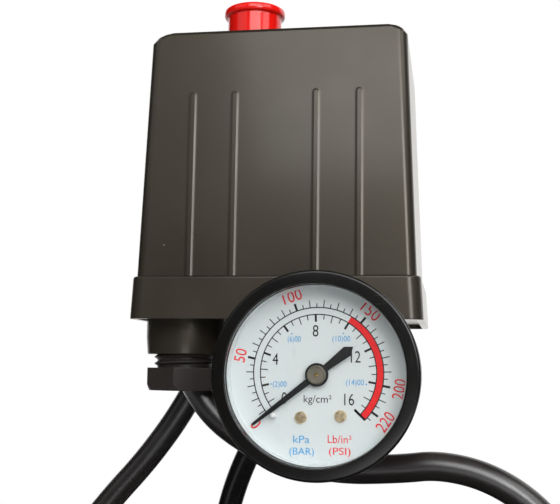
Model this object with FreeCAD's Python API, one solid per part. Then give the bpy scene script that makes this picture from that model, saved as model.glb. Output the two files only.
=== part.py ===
"""Pressure switch of a small air compressor, with its dial pressure gauge.

Millimetres. +Z is up, the gauge faces -Y, +X is to the right of somebody reading it.
The origin is the centre of the tank port's mouth, at the bottom of the manifold.
"""
import FreeCAD, Part
import math
import os

V = FreeCAD.Vector
X_AXIS = V(1, 0, 0)
Y_AXIS = V(0, 1, 0)
Z_AXIS = V(0, 0, 1)

# Clearances
RUN_GAP = 0.05          # radial, shaft in its hole
THREAD_GAP = 0.05       # radial, screwed joints drawn as plain cylinders
FREE_GAP = 0.3          # between pieces that move apart
SEAT_GAP = 0.1          # between assembled pieces that do not move

# Manifold: spanner hexagon, four-way block and square flange, die cast in one
PORT_R = 6.58
TANK_BORE_R = 5.9
TANK_BORE_DEPTH = 12.0
PORT_DEPTH = 7.6
GALLERY_R = 2.5
COLLAR_AF = 27.0
COLLAR_H = 6.0
BLOCK_W = 28.0
BLOCK_R = 14.9
GAUGE_Z = 16.0
FLANGE_Z = 25.0
FLANGE_TOP = 31.3
FLANGE_W = 38.0
FLANGE_CORNER_R = 8.0
CHAMBER_R = 11.5
CHAMBER_DEPTH = 3.0
PLUG_SOCKET_AF = 6.0
PLUG_LENGTH = 7.2

# Diaphragm and the four screws that clamp it
DIAPHRAGM_R = 15.8
DIAPHRAGM_T = 1.4
CLAMP_INSET = 5.5        # from the flange's edge to each screw's middle
CLAMP_SCREW_R = 2.0
CLAMP_HEAD_AF = 7.0
CLAMP_HEAD_H = 2.8
CLAMP_STICK_OUT = 2.0

# Base moulding: floor, flared skirt, locating lip and two gland bosses
BODY_X = -14.8          # middle of cover and base
BASE_TOP = 43.7
SKIRT_L = 85.0
SKIRT_W = 67.6
SKIRT_TOP_L = 83.2
SKIRT_TOP_W = 66.0
SKIRT_CORNER_R = 5.0
SKIRT_WALL = 2.2
SKIRT_EDGE_R = 0.6
FLOOR_T = 2.7
RECESS_DEPTH = 1.2
RECESS_RIM = 1.8
LIP_GAP = 0.3
LIP_H = 3.5
LIP_T = 1.2

# Cable glands at the left end
GLAND_X = -44.7
GLAND_Y = 14.5
BOSS_R = 11.75
BOSS_END_R = 11.3
BOSS_END_Z = 21.4
BOSS_TAPER_Z = 26.5
TURRET_R = 10.0
TURRET_TOP = 36.0
GLAND_BORE_TOP = 33.0
GLAND_THREAD_R = 8.9
GLAND_THREAD_TOP = 28.0
GLAND_HEX_AF = 20.0
GLAND_HEX_Z = 10.7
GLAND_HEX_TOP = 17.4
GLAND_HEX_TURN = 9.5
GLAND_CHAMFER = 0.85
GLAND_CHAMFER_H = 1.8
GLAND_MOUTH_R = 9.0
GLAND_THROAT_R = 6.4
GLAND_THROAT_Z = 17.0
CABLE_ENTRY_R = 4.4
BUSHING_NOSE_Z = 18.0

# Cover: drafted shell with end chamfers and four beads on the front and on the back
COVER_TOP = 117.2
COVER_L = 82.0
COVER_W = 64.6
COVER_TOP_L = 76.8
COVER_TOP_W = 60.8
COVER_CORNER_R = 4.0
COVER_WALL = 2.0
COVER_ROOF = 2.4
END_CHAMFER_L = 5.4
END_CHAMFER_H = 2.2
ROOF_EDGE_R = 0.9
BEAD_X = [-39.0, -26.5, -2.7, 9.8]
BEAD_R = 1.5
BEAD_STANDS = 0.85
BEAD_TOP = 98.1
BEAD_TAPER = 5.0

# Screw that holds the cover to the frame
COVER_SCREW_X = 12.5
COVER_SCREW_R = 2.0
COVER_SCREW_HEAD_R = 3.9
COVER_SCREW_HEAD_H = 2.4
STANDOFF_AF = 7.0

# Knob and its stem
KNOB_X = -27.5
KNOB_RIM_R = 9.9
KNOB_BARREL_R = 8.7
KNOB_RIM_BOTTOM = 131.2
KNOB_RIM_T = 2.0
KNOB_DOME_H = 1.2
KNOB_FLARE_H = 1.8
KNOB_BOTTOM = 106.0
STEM_R = 2.6
STEM_BOTTOM = 62.0
STEM_FOOT_R = 3.6
STEM_FOOT_H = 2.0
STEM_COLLAR_R = 3.7
STEM_COLLAR_H = 2.0
STEM_INTO_KNOB = 11.0

# Sheet steel frame inside
FRAME_FOOT_INSET = 1.0  # foot plate inside the flange's outline
FRAME_T = 2.0
FRAME_UPRIGHT_X = 15.0  # inner face of each upright
UPRIGHT_WIDE = 31.0
UPRIGHT_FRONT = -12.0
UPRIGHT_NECK_W = 18.0
UPRIGHT_SHOULDER = 56.0
BRIDGE_Z = 88.0
BRIDGE_LEFT = -33.5

# Pressure lever
LEVER_PIVOT_Y = 15.0
LEVER_PIVOT_Z = 49.0
LEVER_PIN_R = 2.0
LEVER_T = 2.5
LEVER_FRONT = -19.0
LEVER_W = 26.8
LEVER_FLANGE_T = 1.6
LEVER_FLANGE_TOP = 53.0
LEVER_ARM_LEFT = -29.0
LEVER_ARM_W = 4.0
LEVER_TAIL_W = 4.4
LEVER_TAIL_PAST = 2.6    # beyond the valve's middle

# Piston
PISTON_R = 11.2
PISTON_HEAD_T = 2.6
PISTON_STEM_R = 5.0
PISTON_TOP = 44.0
PISTON_CROWN_H = 1.2

# Range spring and its adjuster
SPRING_R = 8.5
SPRING_WIRE = 2.4
SPRING_TURNS = 5
SPRING_TOP = 76.0
ADJUSTER_R = 11.0
ADJUSTER_T = 2.6
ADJUSTER_SCREW_R = 3.0
ADJUSTER_SCREW_Z = 62.0
ADJUSTER_SCREW_TOP = 98.0
ADJUSTER_NUT_AF = 10.0
ADJUSTER_NUT_H = 5.0

# Contact set on the left of the frame
BLOCK_X0 = -32.0
BLOCK_X1 = -21.0
BLOCK_TOP = 41.0
CONTACT_PITCH = 6.5
BLOCK_SIDE = 4.65       # beyond the middle of the outermost contact
BLOCK_HALF_Y = 1.5 * CONTACT_PITCH + BLOCK_SIDE
CONTACT_STRIP_W = 4.8
CONTACT_STRIP_T = 1.0
TIP_INSET = 2.2
CONTACT_TIP_R = 1.2
CONTACT_TIP_H = 0.7
TERMINAL_INSET = 2.8
BARRIER_T = 1.0
BARRIER_H = 4.5
CONTACT_SCREW_R = 1.8
CARRIER_T = 4.0
CARRIER_FRONT_PAST = 4.2  # beyond the block's sides
CARRIER_BACK_PAST = 0.4
CARRIER_FRONT = -BLOCK_HALF_Y - CARRIER_FRONT_PAST
CARRIER_BACK = BLOCK_HALF_Y + CARRIER_BACK_PAST
BRIDGE_BAR_T = 0.8
GUIDE_R = 1.2
GUIDE_INSET_X = 3.0
GUIDE_INSET_Y = 1.65
GUIDE_TOP = 60.0

# Unloader valve at the back of the floor
VALVE_X = -24.0
VALVE_BEHIND = 4.3       # from the flange's back edge to the valve's middle
VALVE_THREAD_OUT = 1.5
VALVE_BODY_R = 6.0
VALVE_BODY_BOTTOM = 20.0
VALVE_THREAD_R = 4.0
VALVE_STEM_R = 5.2
VALVE_STEM_BOTTOM = 17.5
VALVE_NUT_AF = 14.0
VALVE_NUT_TOP = 21.5
VALVE_NUT_H = 6.0
NUT_SHOULDER = 1.6
OLIVE_L = 2.2
OLIVE_T = 0.55
VALVE_PIN_R = 1.0
VALVE_PIN_BOTTOM = 26.0
VALVE_PIN_HEAD_R = 1.9
VALVE_PIN_HEAD_T = 1.2

# Gauge, turned about an axis along Y at GAUGE_Z
GAUGE_FRONT = -60.6
BEZEL_R = 26.5
BEZEL_OPEN_R = 22.95
BEZEL_LIP_T = 1.5
BEZEL_BACK = -56.3
BEZEL_EDGE_R = 0.9
CASE_R = 26.4
CASE_SPIGOT_R = 25.2
CASE_SHOULDER = -56.1
CASE_BACK = -34.6
CASE_WALL = 2.0
CASE_BACK_T = 1.4
CASE_BACK_EDGE_R = 1.2
LENS_R = 24.0
LENS_T = 1.6
GASKET_T = 0.6
GASKET_IN_R = 22.9
DIAL_R = 23.1
DIAL_T = 0.5
DIAL_FACE = -53.1
DIAL_LEDGE_R = 22.3
DIAL_HOLE_R = 1.5
POINTER_GAP = 1.2
POINTER_T = 0.3
POINTER_TIP_R = 20.7
POINTER_HUB_R = 2.9
POINTER_TAIL_R = 11.7
POINTER_TAIL_SHOULDER = 10.3
POINTER_ROOT_HALF = 0.95
POINTER_TIP_HALF = 0.22
POINTER_TAIL_HALF = 1.1
POINTER_TAIL_END_HALF = 1.3
POINTER_ZERO = 217.8    # degrees, from +X towards +Z
CAP_R = 2.1
CAP_H = 0.8
STOP_PIN_AT = (-11.2, -10.4)
STOP_PIN_R = 0.6
DIAL_SCREW_AT = [(-4.2, -10.9), (6.0, -10.4)]
DIAL_SCREW_R = 1.3
DIAL_SCREW_HEAD_H = 0.9
DIAL_SCREW_SHANK_R = 0.7
DIAL_SCREW_SHANK = 3.6

# Gauge socket
SOCKET_SHOULDER_R = 8.2
SOCKET_SHOULDER_BACK = -32.1
SOCKET_SQUARE = 14.0
SOCKET_SQUARE_BACK = -21.0
SOCKET_FOOT_FRONT = -42.8
SOCKET_FOOT_R = 6.0
SOCKET_BORE_R = 1.5

# Bourdon tube
TUBE_RING_R = 17.2
TUBE_SECTION_R = 1.6
TUBE_SECTION_Y = 5.0
TUBE_FRONT = -44.0
TUBE_START = 250.0
TUBE_SWEEP = 240.0
TUBE_ARM_W = 4.0
TIP_PIN_R = 0.6

# Gauge movement: two plates, a sector and a pinion
MODULE = 0.3
PINION_TEETH = 10
SECTOR_TEETH = 60
SECTOR_CUT_TEETH = 12
POINTER_SWEEP = 262.0
BACKLASH = 0.07
TOOTH_CLEARANCE = 0.1
PRESSURE_ANGLE = 20.0
ROOT_SHARE_PINION = 0.5
ROOT_SHARE_SECTOR = 0.78
SECTOR_T = 1.0
SECTOR_FRONT = -47.2
PINION_FRONT = -47.5
PINION_LENGTH = 1.6
ARBOR_R = 0.6
PLATE_T = 0.8
PLATE_FRONT_Y = -49.6
PLATE_BACK_Y = -45.2
PLATE_HALF_X = 8.5
PLATE_TOP_Z = 5.0
PLATE_BOTTOM_Z = -15.0
PILLAR_R = 1.0
SECTOR_HUB_R = 1.5
TAIL_R = 4.0
TAIL_HALF = 0.9
LINK_T = 0.6
LINK_GAP = 0.15
LINK_PIN_R = 0.4
LINK_EYE_R = 1.5
LINK_SLOT_R = 0.85
LINK_TRAVEL_UP = 46.2   # degrees from +X

# Leads and tube
LEAD_D = 8.2
UNLOADER_D = 8.0
UNLOADER_BORE = 5.5
UNLOADER_BORE_END = 6.0 # how far the bore is drawn in at each end
CORE_D = 2.7
CORE_LENGTH = 16.0
FERRULE_R = 0.75
FERRULE_SLEEVE = 4.0
FERRULE_LENGTH = 11.0

# Coil of the mains lead
COIL_X = -50.0
COIL_Y = 16.0
COIL_Z = -85.0
COIL_R = 46.0
COIL_GAP = 0.8
COIL_HALF_TURNS_IN = 5
COIL_HALF_TURNS_OUT = 6
TIE_T = 1.2
TIE_W = 4.8
TIE_SLACK = 0.6

# Plug
PLUG_R = 18.6
PLUG_FACE_T = 9.0
PLUG_BODY_L = 34.0
PLUG_NECK_R = 6.8
PLUG_RELIEF_L = 20.0
PLUG_RELIEF_R = 5.1
PIN_R = 2.4
PIN_L = 19.0
PIN_PITCH = 19.0

# Worked out from the sizes above
DIAPHRAGM_Z = FLANGE_TOP - DIAPHRAGM_T
FLOOR_BOTTOM = FLANGE_TOP + RECESS_DEPTH
FLOOR_TOP = FLANGE_TOP + FLOOR_T
FRAME_TOP_Z = BRIDGE_Z + FRAME_T
LEVER_Z = PISTON_TOP + FREE_GAP
LEVER_TOP = LEVER_Z + LEVER_T
LEAD_R = LEAD_D / 2
CLAMP_SCREW_X = FLANGE_W / 2 - CLAMP_INSET
FRAME_FOOT = FLANGE_W - 2 * FRAME_FOOT_INSET
VALVE_Y = FLANGE_W / 2 + VALVE_BEHIND
LEVER_TAIL_BACK = VALVE_Y + VALVE_PIN_HEAD_R
LEVER_TAIL_LEFT = VALVE_X - LEVER_TAIL_PAST
COIL_STEP = (LEAD_D + COIL_GAP) / 2
PINION_PITCH_R = MODULE * PINION_TEETH / 2
SECTOR_PITCH_R = MODULE * SECTOR_TEETH / 2
CENTRES = PINION_PITCH_R + SECTOR_PITCH_R
SECTOR_SWEEP = POINTER_SWEEP * PINION_TEETH / SECTOR_TEETH
SECTOR_PIVOT = (0.0, -CENTRES)
PISTON_HOLE_R = PISTON_R + FREE_GAP


def cyl(radius, start, height, axis=Z_AXIS):
    return Part.makeCylinder(radius, height, start, axis)


def ring(outer, inner, start, height, axis=Z_AXIS):
    return cyl(outer, start, height, axis).cut(cyl(inner, start, height, axis))


def cone(r0, r1, start, height, axis=Z_AXIS):
    return Part.makeCone(r0, r1, height, start, axis)


def box(x0, x1, y0, y1, z0, z1):
    return Part.makeBox(x1 - x0, y1 - y0, z1 - z0, V(x0, y0, z0))


def polygon(points):
    return Part.Face(Part.makePolygon(points + [points[0]]))


def hexagon(across_flats, start, height, turn=0.0):
    corner = across_flats / math.sqrt(3)
    angles = [math.radians(turn + 60 * i) for i in range(6)]
    points = [V(start.x + corner * math.cos(a), start.y + corner * math.sin(a), start.z) for a in angles]
    return polygon(points).extrude(V(0, 0, height))


def hexagon_along(across_flats, start, length, axis):
    blank = hexagon(across_flats, V(0, 0, 0), length)
    blank.Placement = FreeCAD.Placement(start, FreeCAD.Rotation(Z_AXIS, axis))
    return blank


def rounded_wire(centre_x, centre_y, length, width, radius, z):
    """Rectangle with round corners, anticlockwise from the middle of its right side."""
    hx = length / 2
    hy = width / 2
    edges = []
    corners = [(1, 1, 0), (-1, 1, 90), (-1, -1, 180), (1, -1, 270)]
    ends = []
    for sx, sy, start in corners:
        cx = centre_x + sx * (hx - radius)
        cy = centre_y + sy * (hy - radius)
        arc = [V(cx + radius * math.cos(math.radians(start + t)),
                 cy + radius * math.sin(math.radians(start + t)), z) for t in (0, 45, 90)]
        ends.append(arc)
    for i, arc in enumerate(ends):
        edges.append(Part.Arc(*arc).toShape())
        edges.append(Part.LineSegment(arc[2], ends[(i + 1) % 4][0]).toShape())
    return Part.Wire(edges)


def drafted(low, high):
    """Block between two rounded rectangles: (centre x, length, width, corner radius, z)."""
    wires = [rounded_wire(cx, 0, length, width, r, z) for cx, length, width, r, z in (low, high)]
    return Part.makeLoft(wires, True, True)


def turned(profile, centre=V(0, 0, 0), axis=Z_AXIS, angle=360):
    """Solid of revolution from (radius, height) points; arcs are given as three-point tuples."""
    def place(point):
        return V(point[0], 0, point[1])
    edges = []
    for a, b in zip(profile, profile[1:] + profile[:1]):
        start = place(a[-1] if isinstance(a[0], tuple) else a)
        end = place(b[0] if isinstance(b[0], tuple) else b)
        if isinstance(a[0], tuple):
            edges.append(Part.Arc(*[place(p) for p in a]).toShape())
        if (end - start).Length > 1e-7:
            edges.append(Part.LineSegment(start, end).toShape())
    solid = Part.Face(Part.Wire(edges)).revolve(V(0, 0, 0), Z_AXIS, angle)
    solid.Placement = FreeCAD.Placement(centre, FreeCAD.Rotation(Z_AXIS, axis))
    return solid


def corner_arc(centre_r, centre_z, radius, start, end):
    """Arc of a turned profile's rounded corner, as three (radius, height) points."""
    angles = [math.radians(start + (end - start) * t / 2) for t in range(3)]
    return tuple((centre_r + radius * math.cos(a), centre_z + radius * math.sin(a)) for a in angles)


def edges_at_z(shape, z):
    return [e for e in shape.Edges if abs(e.BoundBox.ZMin - z) < 1e-3 and abs(e.BoundBox.ZMax - z) < 1e-3]


def gauge_point(x, z, y):
    return V(x, y, GAUGE_Z + z)


def gauge_prism(points, y, thickness):
    """Plate in the plane of the dial; points are (x, z) about the pointer's axis."""
    return polygon([gauge_point(x, z, y) for x, z in points]).extrude(V(0, thickness, 0))


# Manifold and diaphragm

def port_manifold():
    corner_x = FLANGE_W / 2
    body = hexagon(COLLAR_AF, V(0, 0, 0), COLLAR_H, 30)
    block = box(-BLOCK_W / 2, BLOCK_W / 2, -BLOCK_W / 2, BLOCK_W / 2, COLLAR_H, FLANGE_Z)
    block = block.common(cyl(BLOCK_R, V(0, 0, COLLAR_H), FLANGE_Z - COLLAR_H))
    flange_wire = rounded_wire(0, 0, 2 * corner_x, 2 * corner_x, FLANGE_CORNER_R, FLANGE_Z)
    flange = Part.Face(flange_wire).extrude(V(0, 0, FLANGE_TOP - FLANGE_Z))
    body = body.fuse(block).fuse(flange)
    body = body.cut(cyl(TANK_BORE_R, V(0, 0, 0), TANK_BORE_DEPTH))
    body = body.cut(cyl(GALLERY_R, V(0, 0, 0), DIAPHRAGM_Z))
    for axis in (X_AXIS, X_AXIS * -1, Y_AXIS, Y_AXIS * -1):
        face = V(0, 0, GAUGE_Z) + axis * (BLOCK_W / 2)
        body = body.cut(cyl(PORT_R, face, PORT_DEPTH, axis * -1))
        body = body.cut(cyl(GALLERY_R, face, BLOCK_W / 2, axis * -1))
    body = body.cut(cyl(DIAPHRAGM_R + SEAT_GAP, V(0, 0, DIAPHRAGM_Z), DIAPHRAGM_T))
    body = body.cut(cyl(CHAMBER_R, V(0, 0, DIAPHRAGM_Z - CHAMBER_DEPTH), CHAMBER_DEPTH))
    for x, y in clamp_screw_places():
        body = body.cut(cyl(CLAMP_SCREW_R + SEAT_GAP, V(x, y, FLANGE_Z), FLANGE_TOP - FLANGE_Z))
    return body.removeSplitter()


def port_plugs():
    plugs = []
    for axis in (X_AXIS, X_AXIS * -1, Y_AXIS):
        outer = V(0, 0, GAUGE_Z) + axis * (BLOCK_W / 2)
        plug = cyl(PORT_R - THREAD_GAP, outer, PLUG_LENGTH, axis * -1)
        plugs.append(plug.cut(hexagon_along(PLUG_SOCKET_AF, outer, PLUG_LENGTH / 2, axis * -1)))
    return Part.makeCompound(plugs)


def clamp_screw_places():
    return [(sx * CLAMP_SCREW_X, sy * CLAMP_SCREW_X) for sx in (-1, 1) for sy in (-1, 1)]


def clamp_screws():
    screws = []
    top = FLOOR_TOP + FRAME_T + CLAMP_STICK_OUT
    for x, y in clamp_screw_places():
        head = hexagon(CLAMP_HEAD_AF, V(x, y, FLANGE_Z - CLAMP_HEAD_H), CLAMP_HEAD_H, 15)
        shank = cyl(CLAMP_SCREW_R, V(x, y, FLANGE_Z), top - FLANGE_Z)
        screws.append(head.fuse(shank))
    return Part.makeCompound(screws)


def diaphragm():
    return cyl(DIAPHRAGM_R, V(0, 0, DIAPHRAGM_Z), DIAPHRAGM_T)


def piston():
    bottom = FLANGE_TOP + FREE_GAP
    crown_z = PISTON_TOP - PISTON_CROWN_H
    inner = PISTON_STEM_R - PISTON_CROWN_H
    profile = [(0, bottom), (PISTON_R, bottom), (PISTON_R, bottom + PISTON_HEAD_T),
               (PISTON_STEM_R, bottom + PISTON_HEAD_T), (PISTON_STEM_R, crown_z),
               (inner, PISTON_TOP), (0, PISTON_TOP)]
    return turned(profile)


# Base

def base():
    low = (BODY_X, SKIRT_L, SKIRT_W, SKIRT_CORNER_R, FLANGE_TOP)
    high = (BODY_X, SKIRT_TOP_L, SKIRT_TOP_W, SKIRT_CORNER_R, BASE_TOP)
    body = drafted(low, high)
    body = body.makeFillet(SKIRT_EDGE_R, edges_at_z(body, BASE_TOP))
    wall = 2 * SKIRT_WALL
    inner_r = SKIRT_CORNER_R - SKIRT_WALL
    body = body.cut(drafted((BODY_X, SKIRT_L - wall, SKIRT_W - wall, inner_r, FLOOR_TOP),
                            (BODY_X, SKIRT_TOP_L - wall, SKIRT_TOP_W - wall, inner_r, BASE_TOP)))
    rim = 2 * RECESS_RIM
    recess = Part.Face(rounded_wire(BODY_X, 0, SKIRT_L - rim, SKIRT_W - rim,
                                    SKIRT_CORNER_R - RECESS_RIM, FLANGE_TOP)).extrude(V(0, 0, RECESS_DEPTH))
    pad = Part.Face(rounded_wire(0, 0, FLANGE_W, FLANGE_W, FLANGE_CORNER_R, FLANGE_TOP))
    body = body.cut(recess.cut(pad.extrude(V(0, 0, RECESS_DEPTH))))
    body = body.fuse(locating_lip())
    for y in (-GLAND_Y, GLAND_Y):
        body = body.fuse(gland_boss(y))
    for y in (-GLAND_Y, GLAND_Y):
        body = body.cut(cyl(GLAND_THREAD_R + THREAD_GAP, V(GLAND_X, y, BOSS_END_Z), GLAND_BORE_TOP - BOSS_END_Z))
        body = body.cut(cyl(CABLE_ENTRY_R, V(GLAND_X, y, GLAND_BORE_TOP), TURRET_TOP - GLAND_BORE_TOP))
    body = body.cut(cyl(PISTON_HOLE_R, V(0, 0, FLANGE_TOP), FLOOR_T))
    body = body.cut(cyl(VALVE_THREAD_R + THREAD_GAP, V(VALVE_X, VALVE_Y, FLANGE_TOP), FLOOR_T + VALVE_THREAD_OUT))
    for x, y in clamp_screw_places():
        body = body.cut(cyl(CLAMP_SCREW_R + SEAT_GAP, V(x, y, FLANGE_TOP), FLOOR_T))
    return body.removeSplitter()


def locating_lip():
    """Thin wall that stands inside the cover, on a step of the skirt's inner face."""
    outer_l = COVER_L - 2 * (COVER_WALL + LIP_GAP)
    outer_w = COVER_W - 2 * (COVER_WALL + LIP_GAP)
    radius = COVER_CORNER_R - COVER_WALL
    foot = BASE_TOP - LIP_H
    outer = Part.Face(rounded_wire(BODY_X, 0, outer_l, outer_w, radius, foot)).extrude(V(0, 0, 2 * LIP_H - 0.4))
    ledge = drafted((BODY_X, SKIRT_TOP_L - SKIRT_WALL, SKIRT_TOP_W - SKIRT_WALL, SKIRT_CORNER_R - SKIRT_WALL / 2, foot),
                    (BODY_X, SKIRT_TOP_L - SKIRT_WALL, SKIRT_TOP_W - SKIRT_WALL, SKIRT_CORNER_R - SKIRT_WALL / 2,
                     BASE_TOP))
    opening = Part.Face(rounded_wire(BODY_X, 0, outer_l - 2 * LIP_T, outer_w - 2 * LIP_T, radius / 2, foot))
    return ledge.fuse(outer).cut(opening.extrude(V(0, 0, 2 * LIP_H)))


def gland_boss(y):
    boss = cyl(BOSS_R, V(GLAND_X, y, BOSS_TAPER_Z), FLOOR_BOTTOM + 0.2 - BOSS_TAPER_Z)
    taper = cone(BOSS_END_R, BOSS_R, V(GLAND_X, y, BOSS_END_Z), BOSS_TAPER_Z - BOSS_END_Z)
    turret = cyl(TURRET_R, V(GLAND_X, y, FLOOR_BOTTOM), TURRET_TOP - FLOOR_BOTTOM)
    return boss.fuse(taper).fuse(turret)


def gland_nut(y):
    nut = hexagon(GLAND_HEX_AF, V(GLAND_X, y, GLAND_HEX_Z), GLAND_HEX_TOP - GLAND_HEX_Z, GLAND_HEX_TURN)
    corner = GLAND_HEX_AF / math.sqrt(3)
    low = corner - GLAND_CHAMFER
    limit = cone(low, corner, V(GLAND_X, y, GLAND_HEX_Z), GLAND_CHAMFER_H)
    limit = limit.fuse(cyl(corner, V(GLAND_X, y, GLAND_HEX_Z + GLAND_CHAMFER_H), GLAND_HEX_TOP - GLAND_HEX_Z))
    nut = nut.common(limit)
    nut = nut.fuse(cyl(GLAND_THREAD_R, V(GLAND_X, y, GLAND_HEX_TOP), GLAND_THREAD_TOP - GLAND_HEX_TOP))
    flare = cone(GLAND_MOUTH_R, GLAND_THROAT_R, V(GLAND_X, y, GLAND_HEX_Z), GLAND_THROAT_Z - GLAND_HEX_Z)
    bore = cyl(GLAND_THROAT_R, V(GLAND_X, y, GLAND_THROAT_Z), GLAND_THREAD_TOP - GLAND_THROAT_Z)
    return nut.cut(flare).cut(bore).removeSplitter()


def gland_bushing(y):
    nose_r = GLAND_THROAT_R - SEAT_GAP
    collar_z = GLAND_THREAD_TOP + SEAT_GAP
    profile = [(0, BUSHING_NOSE_Z), (nose_r, BUSHING_NOSE_Z), (nose_r, collar_z),
               (GLAND_THREAD_R - SEAT_GAP, collar_z), (GLAND_THREAD_R - SEAT_GAP, GLAND_BORE_TOP),
               (0, GLAND_BORE_TOP)]
    return turned(profile, V(GLAND_X, y, 0))


# Cover

def cover_profile(inset, z_low, z_high):
    """Drafted block with the cover's faces moved inward by inset."""
    def at(z):
        share = (z - BASE_TOP) / (COVER_TOP - BASE_TOP)
        length = COVER_L + (COVER_TOP_L - COVER_L) * share - 2 * inset
        width = COVER_W + (COVER_TOP_W - COVER_W) * share - 2 * inset
        return (BODY_X, length, width, max(COVER_CORNER_R - inset, 0.5), z)
    return drafted(at(z_low), at(z_high))


def end_chamfers():
    cutters = []
    z = COVER_TOP
    for side in (-1, 1):
        x_end = BODY_X + side * COVER_TOP_L / 2
        points = [V(x_end - side * END_CHAMFER_L, -COVER_W, z), V(x_end + side * 2, -COVER_W, z),
                  V(x_end + side * 2, -COVER_W, z - END_CHAMFER_H * (END_CHAMFER_L + 2) / END_CHAMFER_L)]
        cutters.append(polygon(points).extrude(V(0, 2 * COVER_W, 0)))
    return cutters


def bead(x, side):
    """Half-round bead down one long face, tapering out at its top."""
    draft = (COVER_W - COVER_TOP_W) / 2 / (COVER_TOP - BASE_TOP)
    sunk = BEAD_R - BEAD_STANDS
    foot = V(x, side * (COVER_W / 2 - sunk), BASE_TOP)
    height = BEAD_TOP - BASE_TOP - BEAD_TAPER
    lean = V(0, -side * draft, 1)
    length = height * lean.Length
    body = cyl(BEAD_R, foot, length, lean)
    tip = cone(BEAD_R, sunk, foot + lean * height, BEAD_TAPER, lean)
    return body.fuse(tip).common(box(x - 5, x + 5, -COVER_W, COVER_W, BASE_TOP, COVER_TOP))


def cover():
    shell = cover_profile(0, BASE_TOP, COVER_TOP)
    shell = shell.makeFillet(ROOF_EDGE_R, edges_at_z(shell, COVER_TOP))
    for cutter in end_chamfers():
        shell = shell.cut(cutter)
    for side in (-1, 1):
        for x in BEAD_X:
            shell = shell.fuse(bead(x, side))
    shell = shell.cut(cover_profile(COVER_WALL, BASE_TOP, COVER_TOP - COVER_ROOF))
    shell = shell.cut(cyl(KNOB_BARREL_R + FREE_GAP, V(KNOB_X, 0, COVER_TOP - 4), 8))
    shell = shell.cut(cyl(COVER_SCREW_R + SEAT_GAP, V(COVER_SCREW_X, 0, COVER_TOP - 4), 8))
    return shell.removeSplitter()


def cover_standoff():
    """Hexagonal pillar between the frame's bridge and the cover's roof."""
    top = COVER_TOP - COVER_ROOF
    pillar = hexagon(STANDOFF_AF, V(COVER_SCREW_X, 0, FRAME_TOP_Z), top - FRAME_TOP_Z)
    return pillar.cut(cyl(COVER_SCREW_R + THREAD_GAP, V(COVER_SCREW_X, 0, top - 8), 8))


def cover_screw():
    head_r = COVER_SCREW_HEAD_R
    edge = 1.2
    profile = [(0, COVER_TOP), (head_r, COVER_TOP), (head_r, COVER_TOP + COVER_SCREW_HEAD_H - edge),
               (head_r - edge, COVER_TOP + COVER_SCREW_HEAD_H), (0, COVER_TOP + COVER_SCREW_HEAD_H)]
    screw = turned(profile, V(COVER_SCREW_X, 0, 0))
    slot = box(-head_r, head_r, -0.5, 0.5, COVER_TOP + 1.2, COVER_TOP + 4)
    slot.translate(V(COVER_SCREW_X, 0, 0))
    shank = cyl(COVER_SCREW_R, V(COVER_SCREW_X, 0, COVER_TOP - 9), 9)
    return screw.cut(slot).fuse(shank)


# Knob

def knob():
    top = KNOB_RIM_BOTTOM + KNOB_RIM_T
    edge = 0.5
    rim = KNOB_RIM_R - edge
    sphere_r = (rim ** 2 + KNOB_DOME_H ** 2) / (2 * KNOB_DOME_H)
    mid_h = math.sqrt(sphere_r ** 2 - rim ** 2 / 4) - sphere_r + KNOB_DOME_H
    dome = ((rim, top), (rim / 2, top + mid_h), (0, top + KNOB_DOME_H))
    profile = [(0, KNOB_BOTTOM), (KNOB_BARREL_R - edge, KNOB_BOTTOM), (KNOB_BARREL_R, KNOB_BOTTOM + edge),
               (KNOB_BARREL_R, KNOB_RIM_BOTTOM - KNOB_FLARE_H), (KNOB_RIM_R, KNOB_RIM_BOTTOM),
               (KNOB_RIM_R, top - edge), dome]
    body = turned(profile, V(KNOB_X, 0, 0))
    return body.cut(cyl(STEM_R + THREAD_GAP, V(KNOB_X, 0, KNOB_BOTTOM), STEM_INTO_KNOB))


def knob_stem():
    top = KNOB_BOTTOM + STEM_INTO_KNOB
    collar_top = BRIDGE_Z - FREE_GAP
    profile = [(0, STEM_BOTTOM), (STEM_FOOT_R, STEM_BOTTOM), (STEM_FOOT_R, STEM_BOTTOM + STEM_FOOT_H),
               (STEM_R, STEM_BOTTOM + STEM_FOOT_H), (STEM_R, collar_top - STEM_COLLAR_H),
               (STEM_COLLAR_R, collar_top - STEM_COLLAR_H), (STEM_COLLAR_R, collar_top),
               (STEM_R, collar_top), (STEM_R, top), (0, top)]
    return turned(profile, V(KNOB_X, 0, 0))


# Frame, lever, spring

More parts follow.
